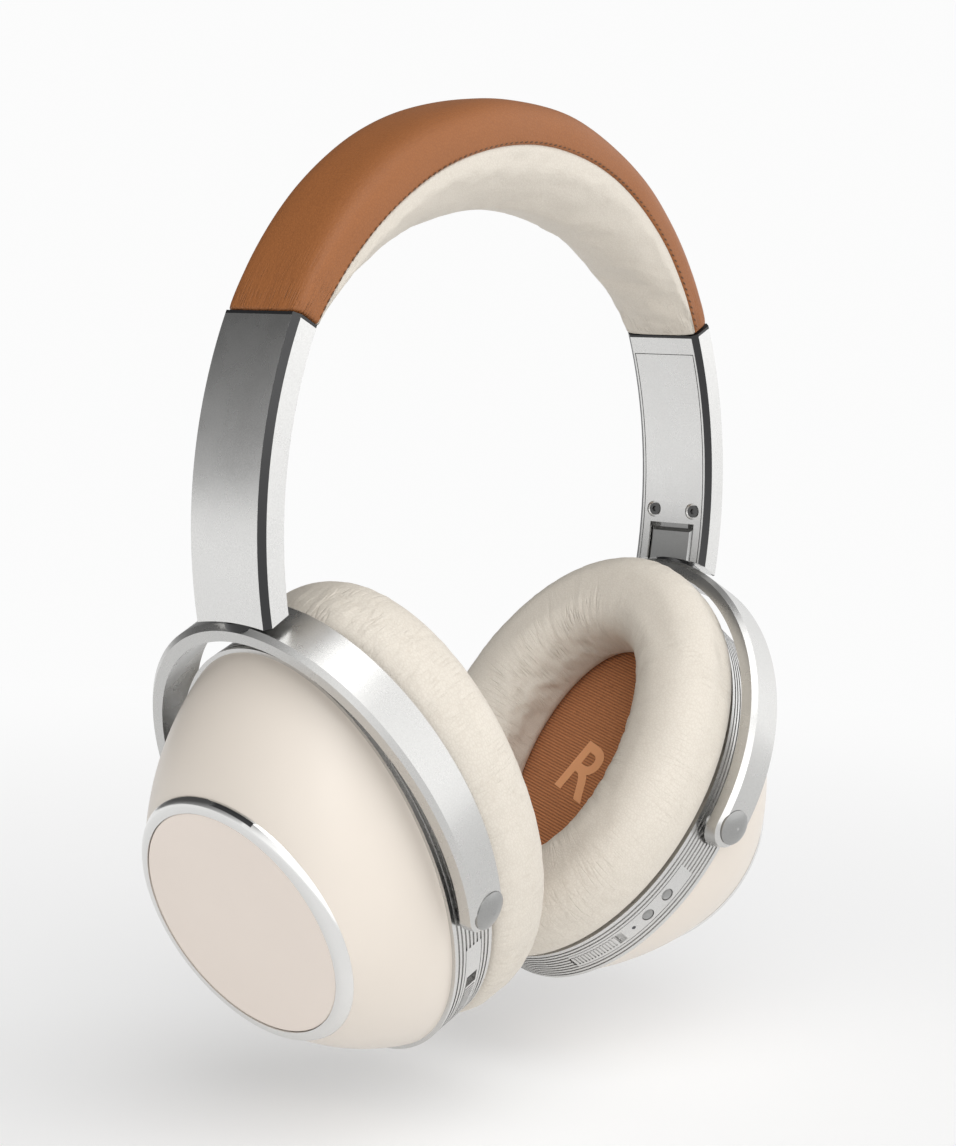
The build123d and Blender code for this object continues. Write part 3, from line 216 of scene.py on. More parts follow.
def store(piece, name, values):
    """Keep one number for each vertex, for a material to read."""
    layer = piece.data.attributes.new(name, "FLOAT", "POINT")
    layer.data.foreach_set("value", np.asarray(values, dtype=float).ravel())


def read(piece, name):
    """The numbers kept by store, one for each vertex."""
    values = np.zeros(len(piece.data.vertices))
    piece.data.attributes[name].data.foreach_get("value", values)
    return values


def noise_field(points, size, seed):
    """Smooth noise from -1 to 1 at each point, with features of that size."""
    shift = Vector((seed * 7.31, seed * 3.17, seed * 1.93))
    return np.array([noise.noise(Vector(p) / size + shift) for p in points.reshape(-1, 3)])


def bake_modifiers(piece):
    """Make the piece's modifiers part of its mesh."""
    graph = bpy.context.evaluated_depsgraph_get()
    mesh = bpy.data.meshes.new_from_object(piece.evaluated_get(graph), depsgraph=graph)
    piece.modifiers.clear()
    piece.data = mesh


def vertex_points(piece):
    return np.array([vertex.co for vertex in piece.data.vertices])


def move_vertices(piece, points):
    piece.data.vertices.foreach_set("co", points.ravel())
    piece.data.update()


CLOTH = {
    "quality": 6,
    "mass": 0.05,
    "tension_stiffness": 12,
    "compression_stiffness": 12,
    "shear_stiffness": 6,
    "bending_stiffness": 0.6,
    "use_pressure": True,
    "uniform_pressure_force": 2.0,
}


def inflate(piece, held, growth, frames, cap):
    """Let a pad swell as cloth filled with air, held where `held` is 1."""
    before = vertex_points(piece)
    group = piece.vertex_groups.new(name="held")
    for index, weight in enumerate(held):
        group.add([index], float(weight), "REPLACE")
    cloth = piece.modifiers.new("cloth", "CLOTH")
    for name, value in CLOTH.items():
        setattr(cloth.settings, name, value)
    cloth.settings.shrink_min = -growth
    cloth.settings.vertex_group_mass = "held"
    cloth.settings.effector_weights.gravity = 0
    cloth.point_cache.frame_start = 1
    cloth.point_cache.frame_end = frames
    scene = bpy.context.scene
    for step in range(1, frames + 1):
        scene.frame_set(step)
    bake_modifiers(piece)
    scene.frame_set(1)
    moved = vertex_points(piece) - before
    length = np.linalg.norm(moved, axis=1)
    scale = np.minimum(1, cap / np.maximum(length, 1e-9))
    move_vertices(piece, before + moved * scale[:, None])


def move_along_normals(piece, offsets):
    normals = np.array([vertex.normal for vertex in piece.data.vertices])
    move_vertices(piece, vertex_points(piece) + normals * offsets[:, None])


def subdivide(piece):
    modifier = piece.modifiers.new("subdivision", "SUBSURF")
    modifier.levels = 1
    modifier.render_levels = 1
    bake_modifiers(piece)
    smooth(piece)


# ---------------------------------------------------------------- finishes


class Finish:
    """A material with one principled shader, built node by node."""

    def __init__(self, name, color, roughness, metallic=0.0, **sockets):
        self.material = bpy.data.materials.new(name)
        self.material.use_nodes = True
        self.nodes = self.material.node_tree.nodes
        self.links = self.material.node_tree.links
        self.shader = self.nodes["Principled BSDF"]
        self.set(self.shader, {"Base Color": (*color, 1), "Roughness": roughness,
                               "Metallic": metallic, **sockets})
        self.normal = None

    def set(self, node, values):
        for name, value in values.items():
            if isinstance(value, bpy.types.NodeSocket):
                self.links.new(value, node.inputs[name])
            else:
                node.inputs[name].default_value = value

    def node(self, kind, values=None, **settings):
        made = self.nodes.new(kind)
        for name, value in settings.items():
            setattr(made, name, value)
        self.set(made, values or {})
        return made

    def place(self, stretch=(1, 1, 1), turn=(0, 0, 0), flat=False):
        """Where a pattern is read: the piece's own space, or its UVs, in metres."""
        source = self.node("ShaderNodeTexCoord").outputs["UV" if flat else "Object"]
        values = {"Vector": source, "Scale": stretch, "Rotation": turn}
        return self.node("ShaderNodeMapping", values).outputs["Vector"]

    def noise(self, place, size, detail=2.0, roughness=0.5):
        """Noise with features of about that size, from 0 to 1."""
        values = {"Vector": place, "Scale": 1 / size, "Detail": detail, "Roughness": roughness}
        return self.node("ShaderNodeTexNoise", values).outputs["Fac"]

    def cells(self, place, size, feature="DISTANCE_TO_EDGE"):
        """Distance to the borders of cells of about that size."""
        values = {"Vector": place, "Scale": 1 / size}
        return self.node("ShaderNodeTexVoronoi", values, feature=feature).outputs["Distance"]

    def bands(self, place, pitch, direction, waver):
        """Even stripes of that pitch, across one direction."""
        values = {"Vector": place, "Scale": pi / 10 / pitch, "Distortion": waver, "Detail": 1.0}
        wave = self.node("ShaderNodeTexWave", values, bands_direction=direction)
        return wave.outputs["Fac"]

    def spread(self, value, low_in, high_in, low_out, high_out):
        values = {"Value": value, "From Min": low_in, "From Max": high_in,
                  "To Min": low_out, "To Max": high_out}
        return self.node("ShaderNodeMapRange", values).outputs["Result"]

    def times(self, first, second):
        made = self.node("ShaderNodeMath", operation="MULTIPLY")
        for socket, value in zip(made.inputs, (first, second)):
            if isinstance(value, bpy.types.NodeSocket):
                self.links.new(value, socket)
            else:
                socket.default_value = value
        return made.outputs[0]

    def mix(self, factor, first, second):
        made = self.node("ShaderNodeMix", data_type="RGBA")
        for index, value in ((0, factor), (6, first), (7, second)):
            if isinstance(value, bpy.types.NodeSocket):
                self.links.new(value, made.inputs[index])
            elif index:
                made.inputs[index].default_value = (*value, 1)
            else:
                made.inputs[index].default_value = value
        return made.outputs[2]

    def color(self, socket):
        self.links.new(socket, self.shader.inputs["Base Color"])

    def roughness(self, socket):
        self.links.new(socket, self.shader.inputs["Roughness"])

    def bump(self, height, depth):
        """Raise the surface by up to depth where height is 1."""
        values = {"Height": height, "Distance": depth, "Strength": 1.0}
        if self.normal:
            values["Normal"] = self.normal
        self.normal = self.node("ShaderNodeBump", values).outputs["Normal"]
        self.links.new(self.normal, self.shader.inputs["Normal"])

    def attribute(self, name):
        return self.node("ShaderNodeAttribute", attribute_name=name).outputs["Fac"]


def shade(color, factor):
    return tuple(channel * factor for channel in color)


def leather(name, color, dark, grain, rough):
    """Leather with pebbled grain, and broken creases where the piece asks for them. The crease
    lines are darkened with painted shade.
    """
    finish = Finish(name, color, rough, **{"Specular IOR Level": 0.34})
    flat = finish.place(flat=True)
    tone = finish.noise(flat, 14 * MM, 4, 0.6)
    pores = finish.noise(flat, 0.3 * MM, 3, 0.6)
    pebbles = finish.spread(finish.cells(flat, grain), 0.0, 0.3, 0, 1)
    drawn = finish.place(stretch=(1, 0.15, 1), flat=True)
    gaps = finish.spread(finish.cells(drawn, 1.15 * MM), 0.0, 0.16, 1, 0)
    broken = finish.spread(finish.noise(flat, 4.5 * MM, 2), 0.38, 0.62, 0, 1)
    crease = finish.attribute("crease")
    lines = finish.times(finish.times(gaps, broken), crease)
    folds = finish.noise(drawn, 1.3 * MM, 3, 0.55)
    base = finish.mix(finish.spread(tone, 0.3, 0.7, 0, 1), shade(color, 0.975), shade(color, 1.02))
    # Darker in the low valleys between the pebbles of the grain.
    valley_darkened = finish.mix(finish.spread(pebbles, 0, 0.5, 0.22, 0), base, dark)
    # Painted shade: the crease lines are darkened towards the dark colour.
    finish.color(finish.mix(finish.times(lines, 0.24), valley_darkened, dark))
    finish.roughness(finish.spread(pores, 0.3, 0.7, rough - 0.05, rough + 0.06))
    finish.bump(pebbles, 0.02 * MM)
    finish.bump(pores, 0.012 * MM)
    finish.bump(finish.times(folds, crease), 0.28 * MM)
    finish.bump(finish.times(lines, -1.0), 0.18 * MM)
    return finish.material


def blasted_metal(name, color, rough, depth=0.006 * MM):
    """Bead-blasted and anodised aluminium: an even, very fine grain."""
    finish = Finish(name, color, rough, 1.0)
    place = finish.place()
    speck = finish.noise(place, 0.28 * MM, 2, 0.6)
    cloud = finish.noise(place, 9 * MM, 3, 0.55)
    grain = finish.spread(speck, 0.3, 0.7, 0, 1)
    finish.color(finish.mix(grain, shade(color, 0.93), shade(color, 1.04)))
    finish.roughness(finish.spread(cloud, 0.3, 0.7, rough - 0.03, rough + 0.04))
    finish.bump(speck, depth)
    return finish.material


def polished_metal(name, color, rough):
    """Turned and polished metal with faint smears."""
    finish = Finish(name, color, rough, 1.0)
    place = finish.place()
    smears = finish.noise(finish.place(stretch=(1, 1, 0.3)), 3 * MM, 4, 0.6)
    finish.roughness(finish.spread(smears, 0.3, 0.7, rough - 0.03, rough + 0.05))
    finish.color(finish.mix(finish.noise(place, 12 * MM, 2), shade(color, 0.95), color))
    finish.bump(finish.noise(place, 0.4 * MM, 2), 0.0015 * MM)
    return finish.material


def painted(name, color, rough, grain=0.25 * MM, depth=0.004 * MM, coat=0.0):
    """Fine satin paint or moulded plastic."""
    finish = Finish(name, color, rough, **{"Coat Weight": coat, "Coat Roughness": 0.25})
    place = finish.place()
    cloud = finish.noise(place, 18 * MM, 3, 0.5)
    speck = finish.noise(place, grain, 2, 0.6)
    finish.color(finish.mix(cloud, shade(color, 0.975), shade(color, 1.02)))
    finish.roughness(finish.spread(speck, 0.3, 0.7, rough - 0.03, rough + 0.05))
    finish.bump(speck, depth)
    return finish.material


def screen_cloth(name, color, dark):
    """Fine ribbed fabric, with its ribs across the ear at a slant, and painted shade in the grooves
    between the ribs.
    """
    finish = Finish(name, color, 0.85, **{"Sheen Weight": 0.25, "Sheen Roughness": 0.5})
    ribs = finish.bands(finish.place(turn=(0, 0, radians(-16)), flat=True), 0.72 * MM, "Y", 0.12)
    threads = finish.bands(finish.place(turn=(0, 0, radians(38)), flat=True), 0.34 * MM, "X", 0.2)
    fuzz = finish.noise(finish.place(flat=True), 0.3 * MM, 3, 0.7)
    # Painted shade: the grooves between the ribs take the dark colour, the rib tops keep the full
    # colour.
    lit = finish.mix(finish.spread(ribs, 0.1, 0.8, 0, 1), dark, color)
    finish.color(finish.mix(finish.spread(fuzz, 0.35, 0.7, 0, 0.3), lit, shade(color, 1.35)))
    finish.bump(ribs, 0.12 * MM)
    finish.bump(threads, 0.03 * MM)
    return finish.material


def dark_foam(name, color):
    finish = Finish(name, color, 0.9)
    pores = finish.cells(finish.place(), 0.7 * MM)
    # Painted shade: darker along the low borders of the cells, where the bump sinks.
    finish.color(finish.mix(finish.spread(pores, 0, 0.4, 0, 1), shade(color, 0.4), color))
    finish.bump(pores, 0.2 * MM)
    return finish.material


COGNAC = (0.30, 0.108, 0.032)
CREAM = (0.67, 0.622, 0.548)
FINISHES = {
    # The second colour of each leather darkens the grain's valleys and is the painted shade in its
    # crease lines.
    "cognac_leather": leather("cognac_leather", COGNAC, (0.13, 0.04, 0.012), 0.7 * MM, 0.5),
    "cream_leather": leather("cream_leather", CREAM, (0.44, 0.37, 0.30), 0.7 * MM, 0.52),
    "satin_aluminium": blasted_metal("satin_aluminium", (0.76, 0.757, 0.745), 0.27),
    "yoke_metal": blasted_metal("yoke_metal", (0.60, 0.597, 0.585), 0.27),
    "ring_metal": blasted_metal("ring_metal", (0.66, 0.655, 0.645), 0.25, 0.003 * MM),
    "polished_aluminium": polished_metal("polished_aluminium", (0.80, 0.797, 0.785), 0.16),
    "slider_metal": blasted_metal("slider_metal", (0.36, 0.36, 0.355), 0.3, 0.004 * MM),
    "black_trim": painted("black_trim", (0.012, 0.012, 0.013), 0.36),
    "cream_cone": painted("cream_cone", (0.71, 0.645, 0.572), 0.34, coat=0.15),
    "disc_cream": painted("disc_cream", (0.79, 0.705, 0.635), 0.5),
    "black_plastic": painted("black_plastic", (0.02, 0.02, 0.022), 0.5, 0.4 * MM, 0.01 * MM),
    # The screen's second colour is the painted shade between its ribs.
    "screen_fabric": screen_cloth("screen_fabric", (0.47, 0.175, 0.058), (0.23, 0.078, 0.024)),
    "steel": polished_metal("steel", (0.60, 0.60, 0.59), 0.28),
    "dark_steel": polished_metal("dark_steel", (0.13, 0.13, 0.13), 0.3),
    "foam": dark_foam("foam", (0.1, 0.1, 0.1)),
    "magnet": polished_metal("magnet", (0.4, 0.4, 0.41), 0.35),
    "film": painted("film", (0.16, 0.16, 0.17), 0.3),
    "light": painted("light", (0.05, 0.05, 0.055), 0.3),
    "board": painted("board", (0.02, 0.12, 0.06), 0.35),
    "battery": painted("battery", (0.22, 0.23, 0.26), 0.35),
    "socket_metal": polished_metal("socket_metal", (0.5, 0.5, 0.49), 0.25),
    "letter_print": painted("letter_print", (0.72, 0.34, 0.16), 0.7),
    "thread": painted("thread", (0.10, 0.045, 0.02), 0.7),
}


# ---------------------------------------------------------------- hard parts

FINISH_OF_NODE = {
    "cup_ring": "ring_metal", "control_strip": "ring_metal", "slide_switch": "ring_metal",
    "upper_button": "slider_metal", "lower_button": "slider_metal", "yoke": "yoke_metal",
    "pivot_bushes": "steel",
    "height_slider": "slider_metal", "pivot_caps": "slider_metal", "arm_screws": "dark_steel",
}
SHARP_ANGLE = radians(28)


def finish_hard_parts():
    """Give each CAD node its finish, and smooth normals between its real edges."""
    slots = {entry["node"]: entry["material_slot"] for entry in frame["record"]["subparts"]}
    for name, piece in frame["nodes"].items():
        stem = name.removesuffix("_left").removesuffix("_right")
        finish = FINISHES[FINISH_OF_NODE.get(stem, slots[name])]
        piece.data.materials.clear()
        piece.data.materials.append(finish)
        smooth(piece)
        weld = piece.modifiers.new("weld", "WELD")
        weld.merge_threshold = 0.0005 * MM
        split = piece.modifiers.new("split", "EDGE_SPLIT")
        split.split_angle = SHARP_ANGLE


# ---------------------------------------------------------------- headband


def arm_point(radius):
    """Where an arc of the right arm meets the padding, as x and z."""
    centre = JOINTS["height_right"]["pos_m"]
    return (centre[0] + radius * cos(PADDING_END_ANGLE),
            centre[2] + radius * sin(PADDING_END_ANGLE))


def crown_arc(height, end, along):
    """Points of the arc over the head through both ends, for along from -1 to 1."""
    end_x, end_z = end
    rise = height - end_z
    radius = (end_x**2 + rise**2) / (2 * rise)
    reach = np.arcsin(end_x / radius)
    turn = along * reach
    return np.stack([radius * np.sin(turn), height - radius + radius * np.cos(turn)], axis=-1)


def headband_lines(along):
    """The seam, the leather's top and the pad's underside along the band."""
    seam_end = arm_point(ARM_INNER_RADIUS + CUSHION_END_THICKNESS)
    return (
        crown_arc(SEAM_HEIGHT, seam_end, along),
        crown_arc(CROWN_HEIGHT, arm_point(ARM_OUTER_RADIUS), along),
        crown_arc(0.0, arm_point(ARM_INNER_RADIUS), along),
    )


def half_width(along):
    """Half the band's width: the arms' at its ends, fuller at the crown."""
    return ARM_HALF_WIDTH + (BAND_HALF_WIDTH - ARM_HALF_WIDTH) * (1 - along**2)


def band_piece(name, along, far_line, near_line, sections):
    """Sleeve along the band. A section point is (across, share of the way to far_line)."""
    rows = []
    for index in range(len(along)):
        direction = far_line[index] - near_line[index]
        across, share = sections[index].T
        x = near_line[index, 0] + direction[0] * share
        z = near_line[index, 1] + direction[1] * share
        rows.append(np.stack([x, across, z], axis=-1))
    points = np.array(rows)
    length = length_along(near_line)
    around = np.linspace(0, 1, points.shape[1] + 1) * BAND_GIRTH
    uvs = np.stack(np.broadcast_arrays(around[None, :], length[:, None]), axis=-1)
    return grid_piece(name, points, uvs, close_columns=True, caps=True)


def gathering(along, start):
    """How far the leather is gathered: 0 up to start, and 1 at the ends of the band."""
    return np.clip((np.abs(along) - start) / (1 - start), 0, 1) ** 1.5


def make_headband_cover():
    """Leather over the top and sides, boxy at its ends and softly rounded at the crown."""
    along = np.linspace(-1, 1, COVER_ROWS)
    seam, top, _ = headband_lines(along)
    depth = CROWN_HEIGHT - SEAM_HEIGHT
    angle = np.linspace(0, pi, 120)
    sections = []
    for place in along:
        power = COVER_BOXINESS + COVER_END_BOXINESS * abs(place) ** 5
        tuck = 1 - COVER_END_TUCK * max(0, abs(place) - BAND_END) / (1 - BAND_END)
        across, up = superellipse(angle, half_width(place) * tuck, depth, power)
        outline = np.stack([across, up / depth], axis=-1)
        floor = np.stack([np.linspace(-0.96, 0.96, 30) * half_width(place) * tuck,
                          np.full(30, -0.02)], axis=-1)
        scaled = np.vstack([outline, floor]) * (1, depth)
        even, _ = even_loop(scaled, COVER_COLUMNS)
        sections.append(even / (1, depth))
    piece = band_piece("headband_leather", along, top, seam, sections)
    gather = gathering(np.repeat(along, COVER_COLUMNS), COVER_GATHER_START)
    points = vertex_points(piece)
    ripple = noise_field(points * (0.25, 1, 0.25), 1.5 * MM, 3)
    swell = noise_field(points, 16 * MM, 5)
    offset = ripple * gather * 0.14 * MM + swell * 0.22 * MM
    move_along_normals(piece, offset)
    store(piece, "crease", 0.10 + 0.75 * gather)
    subdivide(piece)
    piece.data.materials.append(FINISHES["cognac_leather"])
    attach(piece, "headband")
    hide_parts("headband_cover", "headband_foam")


def make_headband_cushion():
    """Cream pad under the band, swollen between its seams."""
    along = np.linspace(-1, 1, CUSHION_ROWS)
    seam, _, under = headband_lines(along)
    depth = SEAM_HEIGHT
    angle = np.linspace(0, -pi, 120)
    sections = []
    for place in along:
        power = CUSHION_BOXINESS + CUSHION_END_BOXINESS * abs(place) ** 4
        reach = half_width(place) - CUSHION_INSET
        across, up = superellipse(angle, reach, depth, power)
        floor = np.stack([np.linspace(-0.97, 0.97, 30) * reach, np.full(30, 0.02 * depth)], axis=-1)
        outline = np.vstack([np.stack([across, up], axis=-1), floor])
        even, _ = even_loop(outline, CUSHION_COLUMNS)
        sections.append(even / (1, -depth))
    piece = band_piece("headband_pad", along, under, seam, sections)
    rows = np.repeat(along, CUSHION_COLUMNS)
    share = np.tile(sections[len(along) // 2][:, 1], len(along))
    held = np.clip(1.2 - share * 6, 0, 1)
    held[np.abs(rows) > BAND_END] = 1
    inflate(piece, held, growth=0.004, frames=14, cap=0.8 * MM)
    gather = gathering(rows, CUSHION_GATHER_START)
    points = vertex_points(piece)
    ripple = noise_field(points * (0.5, 1, 0.5), 3 * MM, 11)
    swell = noise_field(points, 14 * MM, 12)
    move_along_normals(piece, (ripple * gather * 0.12 + swell * 0.08) * MM * (1 - held))
    store(piece, "crease", 0.12 + 0.5 * gather)
    subdivide(piece)
    piece.data.materials.append(FINISHES["cream_leather"])
    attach(piece, "headband")
    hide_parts("headband_cushion")


def add_stitch(vertices, faces, centre, forward, out, front):
    """One stitch: a short slanted thread, thinner at its two ends."""
    rings, sides = 5, 6
    start = len(vertices)
    for ring in range(rings):
        share = ring / (rings - 1) * 2 - 1
        radius = STITCH_RADIUS * sqrt(max(1 - share**4, 0.05))
        for step in range(sides):
            around = 2 * pi * step / sides
            vertices.append(
                centre
                + forward * share * STITCH_LENGTH / 2
                + out * (radius * sin(around) + STITCH_SLANT * share)
                + np.array([0, front * radius * cos(around), 0])
            )
    for ring in range(rings - 1):
        for step in range(sides):
            near, far = start + ring * sides, start + (ring + 1) * sides
            after = (step + 1) % sides
            faces.append([near + step, near + after, far + after, far + step])
    faces.append([start + step for step in reversed(range(sides))])
    faces.append([start + (rings - 1) * sides + step for step in range(sides)])


def make_stitches():
    """Short sunk stitches along the two seams between leather and pad."""
    along = np.linspace(-BAND_END, BAND_END, 400)
    seam = headband_lines(along)[0]
    length = length_along(seam)
    count = int(length[-1] / STITCH_PITCH)
    vertices, faces = [], []
    for index in range(count):
        middle = (index + 0.5) * length[-1] / count
        place = np.interp(middle, length, along)
        x, z = (np.interp(middle, length, seam[:, axis]) for axis in range(2))
        turn = np.arctan2(x, STITCH_TURN_HEIGHT)
        forward = np.array([cos(turn), 0, -sin(turn)])
        out = np.array([sin(turn), 0, cos(turn)])
        for front in (-1, 1):
            side = np.array([x, front * (half_width(place) - STITCH_SINK), z])
            add_stitch(vertices, faces, side + out * STITCH_RISE, forward, out, front)
    mesh = bpy.data.meshes.new("seam_stitches")
    mesh.from_pydata([tuple(v) for v in vertices], [], faces)
    mesh.update()
    piece = add_object("seam_stitches", mesh)
    smooth(piece)
    mesh.materials.append(FINISHES["thread"])
    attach(piece, "headband")


# ---------------------------------------------------------------- ears


def cup_frame(side_name):
    """Matrix from a cup's own frame to the frame that all parts share."""
    origin = Vector(JOINTS[f"tilt_{side_name}"]["pos_m"])
    across = Vector(JOINTS[f"tilt_{side_name}"]["axis"])
    outward = Vector(JOINTS[f"switch_{side_name}_slide"]["axis"]) * -SIDES[side_name]
    columns = Matrix((outward, across, outward.cross(across))).transposed()
    return Matrix.Translation(origin) @ columns.to_4x4()


def pad_section(count):
    """The pad's section: across the rim from its middle, and towards the ear."""
    half_rim = PAD_RIM_WIDTH / 2
    half_depth = (PAD_BACK_X - PAD_FRONT_X) / 2
    angle = np.linspace(0, 2 * pi, 720, endpoint=False)
    front = superellipse(angle, half_rim, half_depth, PAD_FRONT_BOXINESS)
    back = superellipse(angle, half_rim, half_depth, PAD_BACK_BOXINESS)
    towards_ear = (np.sin(angle) > 0)[:, None]
    outline = np.where(towards_ear, np.stack(front, axis=-1), np.stack(back, axis=-1))
    return even_loop(outline, count)


def pucker(piece, seed):
    """Fine wrinkles across the pad, most of them round its opening and on its rim."""
    points = vertex_points(piece)
    inward = read(piece, "inward")
    up, out = points[:, 2] - RING_CENTRE, points[:, 1]
    turn = np.arctan2(up / RING_RISE, out / RING_REACH)
    middle = (RING_RISE + RING_REACH) / 2 - PAD_RIM_WIDTH / 2
    reach = np.hypot(up, out)
    # Noise changes slowly in this direction, so the wrinkles run across the pad.
    across = points[:, 0] * 0.16 + reach * 0.1
    drawn = np.stack([middle * np.cos(turn), middle * np.sin(turn), across], axis=-1)
    puckers = noise_field(drawn, PUCKER_SIZE, seed)
    fine = noise_field(drawn, FINE_PUCKER_SIZE, seed + 1)
    patches = np.clip(noise_field(points, 18 * MM, seed + 2) * 0.9 + 0.65, 0.2, 1)
    wall = np.clip(inward, 0, 1) ** 0.8
    rim = np.clip(-inward, 0, 1) ** 2
    strength = np.clip(0.12 + 0.8 * wall + 0.5 * rim, 0, 1) * patches
    swell = noise_field(points, SWELL_SIZE, seed + 3)
    wrinkles = puckers * PUCKER_DEPTH + fine * FINE_PUCKER_DEPTH
    offset = wrinkles * strength + swell * SWELL_DEPTH
    move_along_normals(piece, offset * MM * (1 - read(piece, "held_share")))
    store(piece, "crease", strength)
    smooth(piece)


def make_ear_pad(side_name):
    """Leather pad round the ear, puckered round its opening."""
    section, girth = pad_section(PAD_COLUMNS)
    angle = np.linspace(0, 2 * pi, PAD_ROWS, endpoint=False)
    mid_reach = RING_REACH + PAD_OVERHANG - PAD_RIM_WIDTH / 2
    mid_rise = RING_RISE + PAD_OVERHANG - PAD_RIM_WIDTH / 2
    out_y, out_z = np.cos(angle)[:, None], np.sin(angle)[:, None]
    middle_x = (PAD_BACK_X + PAD_FRONT_X) / 2
    points = np.stack(np.broadcast_arrays(
        middle_x - section[None, :, 1],
        (mid_reach + section[None, :, 0]) * out_y,
        RING_CENTRE + (mid_rise + section[None, :, 0]) * out_z,
    ), axis=-1)
    steps = np.hypot(mid_reach * np.sin(angle), mid_rise * np.cos(angle)) * 2 * pi / PAD_ROWS
    u = np.concatenate([[0], np.cumsum(steps)])
    v = np.linspace(0, girth, PAD_COLUMNS + 1)
    uvs = np.stack(np.broadcast_arrays(u[:, None], v[None, :]), axis=-1)
    piece = grid_piece(f"pad_{side_name}", points, uvs, close_rows=True, close_columns=True)
    inward = np.tile(-section[:, 0] / (PAD_RIM_WIDTH / 2), PAD_ROWS)
    depth = np.tile(section[:, 1] / ((PAD_BACK_X - PAD_FRONT_X) / -2), PAD_ROWS)
    held = np.clip((depth - 0.55) * 4, 0, 1)
    inflate(piece, held, growth=0.01, frames=16, cap=0.35 * MM)
    store(piece, "inward", inward)
    store(piece, "held_share", held)
    subdivide(piece)
    pucker(piece, PAD_SEEDS[side_name])
    piece.data.transform(cup_frame(side_name))
    piece.data.materials.append(FINISHES["cream_leather"])
    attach(piece, f"cup_{side_name}")
    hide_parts(f"ear_pad_{side_name}")


def make_ear_screen(side_name):
    """Ribbed fabric stretched over the driver, a little domed."""
    reach, rise = RING_REACH - SCREEN_INSET, RING_RISE - SCREEN_INSET
    share = np.linspace(0, 1, SCREEN_RINGS)[:, None]
    angle = np.linspace(0, 2 * pi, SCREEN_COLUMNS, endpoint=False)[None, :]
    y, z = reach * share * np.cos(angle), rise * share * np.sin(angle)
    x = SCREEN_X - SCREEN_BULGE * (1 - share**2) + 0 * angle
    points = np.stack([x, y, RING_CENTRE + z], axis=-1)
    flat_y = np.concatenate([y, y[:, :1]], axis=1)
    flat_z = np.concatenate([z, z[:, :1]], axis=1)
    uvs = np.stack([flat_y * SIDES[side_name], flat_z], axis=-1)
    piece = grid_piece(f"screen_{side_name}", points, uvs, close_columns=True)
    piece.data.transform(cup_frame(side_name))
    piece.data.materials.append(FINISHES["screen_fabric"])
    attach(piece, f"cup_{side_name}")
    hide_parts(f"ear_screen_{side_name}")


def make_letter(side_name):
    """Plain letter printed on the screen, to tell the two ears apart."""
    curve = bpy.data.curves.new(f"letter_{side_name}", "FONT")
    curve.body = side_name[0].upper()
    curve.size = LETTER_HEIGHT / CAPITAL_SHARE
    curve.align_x = "CENTER"
    curve.align_y = "CENTER"
    curve.offset = LETTER_BOLDNESS * curve.size
    curve.extrude = INK_THICKNESS
    curve.resolution_u = 12
    text = add_object(curve.name, curve)
    bpy.context.view_layer.update()
    graph = bpy.context.evaluated_depsgraph_get()
    mesh = bpy.data.meshes.new_from_object(text.evaluated_get(graph))
    bpy.data.objects.remove(text)
    side = SIDES[side_name]
    facing_ear = Matrix(((0, 0, -1), (-1, 0, 0), (0, 1, 0))).to_4x4()
    turn = Matrix.Rotation(-side * LETTER_TURN, 4, "Z")
    place = Matrix.Translation((
        SCREEN_X - SCREEN_BULGE - LETTER_GAP,
        side * LETTER_FORWARD,
        RING_CENTRE - LETTER_BELOW_CENTRE,
    ))
    mesh.transform(cup_frame(side_name) @ place @ facing_ear @ turn)
    piece = add_object(f"letter_{side_name}", mesh)
    mesh.materials.append(FINISHES["letter_print"])
    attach(piece, f"cup_{side_name}")


# ---------------------------------------------------------------- studio


def make_camera():
    level = Vector((cos(CAMERA_AZIMUTH), sin(CAMERA_AZIMUTH), 0))
    reach = cos(CAMERA_ELEVATION)
    back = Vector((
        sin(CAMERA_AZIMUTH) * reach,
        -cos(CAMERA_AZIMUTH) * reach,
        sin(CAMERA_ELEVATION),
    ))
    right = cos(CAMERA_ROLL) * level + sin(CAMERA_ROLL) * back.cross(level)
    up = back.cross(right)
    lens = bpy.data.cameras.new("camera")
    lens.lens = CAMERA_LENS
    lens.clip_start = 0.01
    camera = add_object("camera", lens)
    turn = Matrix((right, up, back)).transposed().to_4x4()
    camera.matrix_world = Matrix.Translation(CAMERA_TARGET + back * CAMERA_DISTANCE) @ turn
    bpy.context.scene.camera = camera


def make_light(name, place, size, power):
    data = bpy.data.lights.new(name, "AREA")
    data.shape = "RECTANGLE"
    data.size, data.size_y = size, size
    data.energy = power
    light = add_object(name, data)
    light.location = place
    light.rotation_euler = (CAMERA_TARGET - Vector(place)).to_track_quat("-Z", "Y").to_euler()


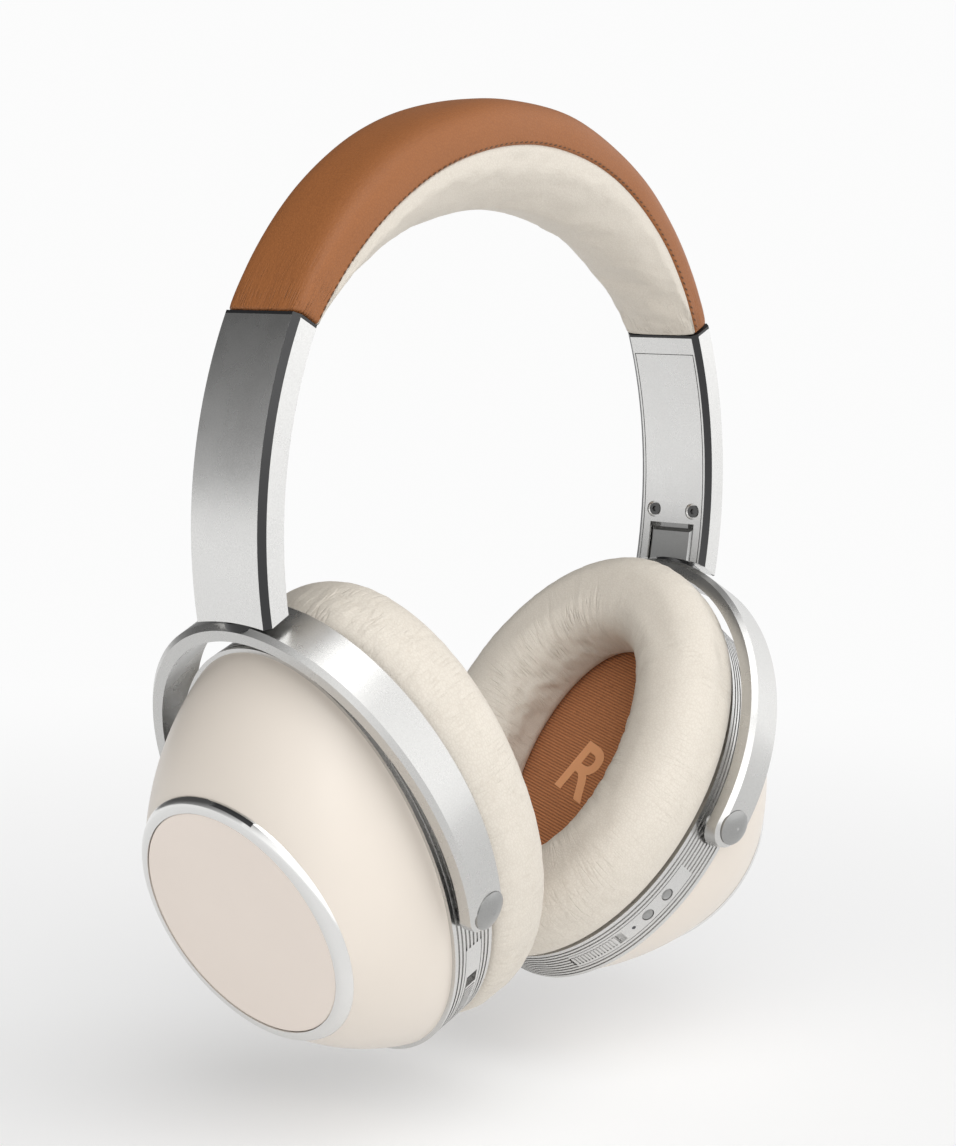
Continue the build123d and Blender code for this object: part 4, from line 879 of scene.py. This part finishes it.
def make_floor():
    """Large pale floor that fades into the background."""
    height = CAD_BOX[0][2] - FLOOR_GAP
    mesh = bpy.data.meshes.new("floor")
    signs = ((-1, -1), (1, -1), (1, 1), (-1, 1))
    corners = [(x * FLOOR_REACH, y * FLOOR_REACH, height) for x, y in signs]
    mesh.from_pydata(corners, [], [(0, 1, 2, 3)])
    floor = add_object("floor", mesh)
    material = bpy.data.materials.new("floor")
    material.use_nodes = True
    nodes, links = material.node_tree.nodes, material.node_tree.links
    shader = nodes["Principled BSDF"]
    shader.inputs["Base Color"].default_value = (0.95, 0.95, 0.95, 1)
    shader.inputs["Roughness"].default_value = 0.9
    place = nodes.new("ShaderNodeTexCoord")
    distance = nodes.new("ShaderNodeVectorMath")
    distance.operation = "LENGTH"
    links.new(place.outputs["Object"], distance.inputs[0])
    fade = nodes.new("ShaderNodeMapRange")
    fade.interpolation_type = "SMOOTHSTEP"
    fade.inputs["From Min"].default_value, fade.inputs["From Max"].default_value = FLOOR_FADE
    fade.inputs["To Min"].default_value = FLOOR_GLOW
    links.new(distance.outputs["Value"], fade.inputs["Value"])
    glow = nodes.new("ShaderNodeEmission")
    glow.inputs["Color"].default_value = (*BACKGROUND, 1)
    blend = nodes.new("ShaderNodeMixShader")
    links.new(fade.outputs["Result"], blend.inputs["Fac"])
    links.new(shader.outputs["BSDF"], blend.inputs[1])
    links.new(glow.outputs["Emission"], blend.inputs[2])
    links.new(blend.outputs["Shader"], nodes["Material Output"].inputs["Surface"])
    mesh.materials.append(material)


def make_world():
    """Pale room: bright behind the headphones and below, dark in front of them overhead."""
    world = bpy.data.worlds.new("studio")
    bpy.context.scene.world = world
    world.use_nodes = True
    nodes, links = world.node_tree.nodes, world.node_tree.links
    lit = nodes["Background"]
    place = nodes.new("ShaderNodeTexCoord")
    facing = nodes.new("ShaderNodeVectorMath")
    facing.operation = "DOT_PRODUCT"
    facing.inputs[1].default_value = BRIGHT_SIDE
    links.new(place.outputs["Generated"], facing.inputs[0])
    share = nodes.new("ShaderNodeMapRange")
    share.inputs["From Min"].default_value = -1
    share.inputs["From Max"].default_value = 1
    links.new(facing.outputs["Value"], share.inputs["Value"])
    ramp = nodes.new("ShaderNodeValToRGB")
    links.new(share.outputs["Result"], ramp.inputs["Fac"])
    ramp.color_ramp.interpolation = "CARDINAL"
    while len(ramp.color_ramp.elements) < len(ROOM_LIGHT):
        ramp.color_ramp.elements.new(0.5)
    for element, (side, value) in zip(ramp.color_ramp.elements, ROOM_LIGHT):
        element.position = (side + 1) / 2
        element.color = (value, value, value, 1)
    path = nodes.new("ShaderNodeLightPath")
    plain = nodes.new("ShaderNodeBackground")
    plain.inputs["Color"].default_value = (*BACKGROUND, 1)
    links.new(ramp.outputs["Color"], lit.inputs["Color"])
    lit.inputs["Strength"].default_value = ROOM_STRENGTH
    blend = nodes.new("ShaderNodeMixShader")
    links.new(path.outputs["Is Camera Ray"], blend.inputs["Fac"])
    links.new(lit.outputs["Background"], blend.inputs[1])
    links.new(plain.outputs["Background"], blend.inputs[2])
    links.new(blend.outputs["Shader"], nodes["World Output"].inputs["Surface"])


def make_studio():
    make_camera()
    make_world()
    make_floor()
    for light in LIGHTS:
        make_light(*light)
    bpy.context.scene.view_settings.view_transform = "Standard"


# ---------------------------------------------------------------- all of it

make_studio()
finish_hard_parts()
make_headband_cover()
make_headband_cushion()
make_stitches()
for ear in SIDES:
    make_ear_pad(ear)
    make_ear_screen(ear)
    make_letter(ear)
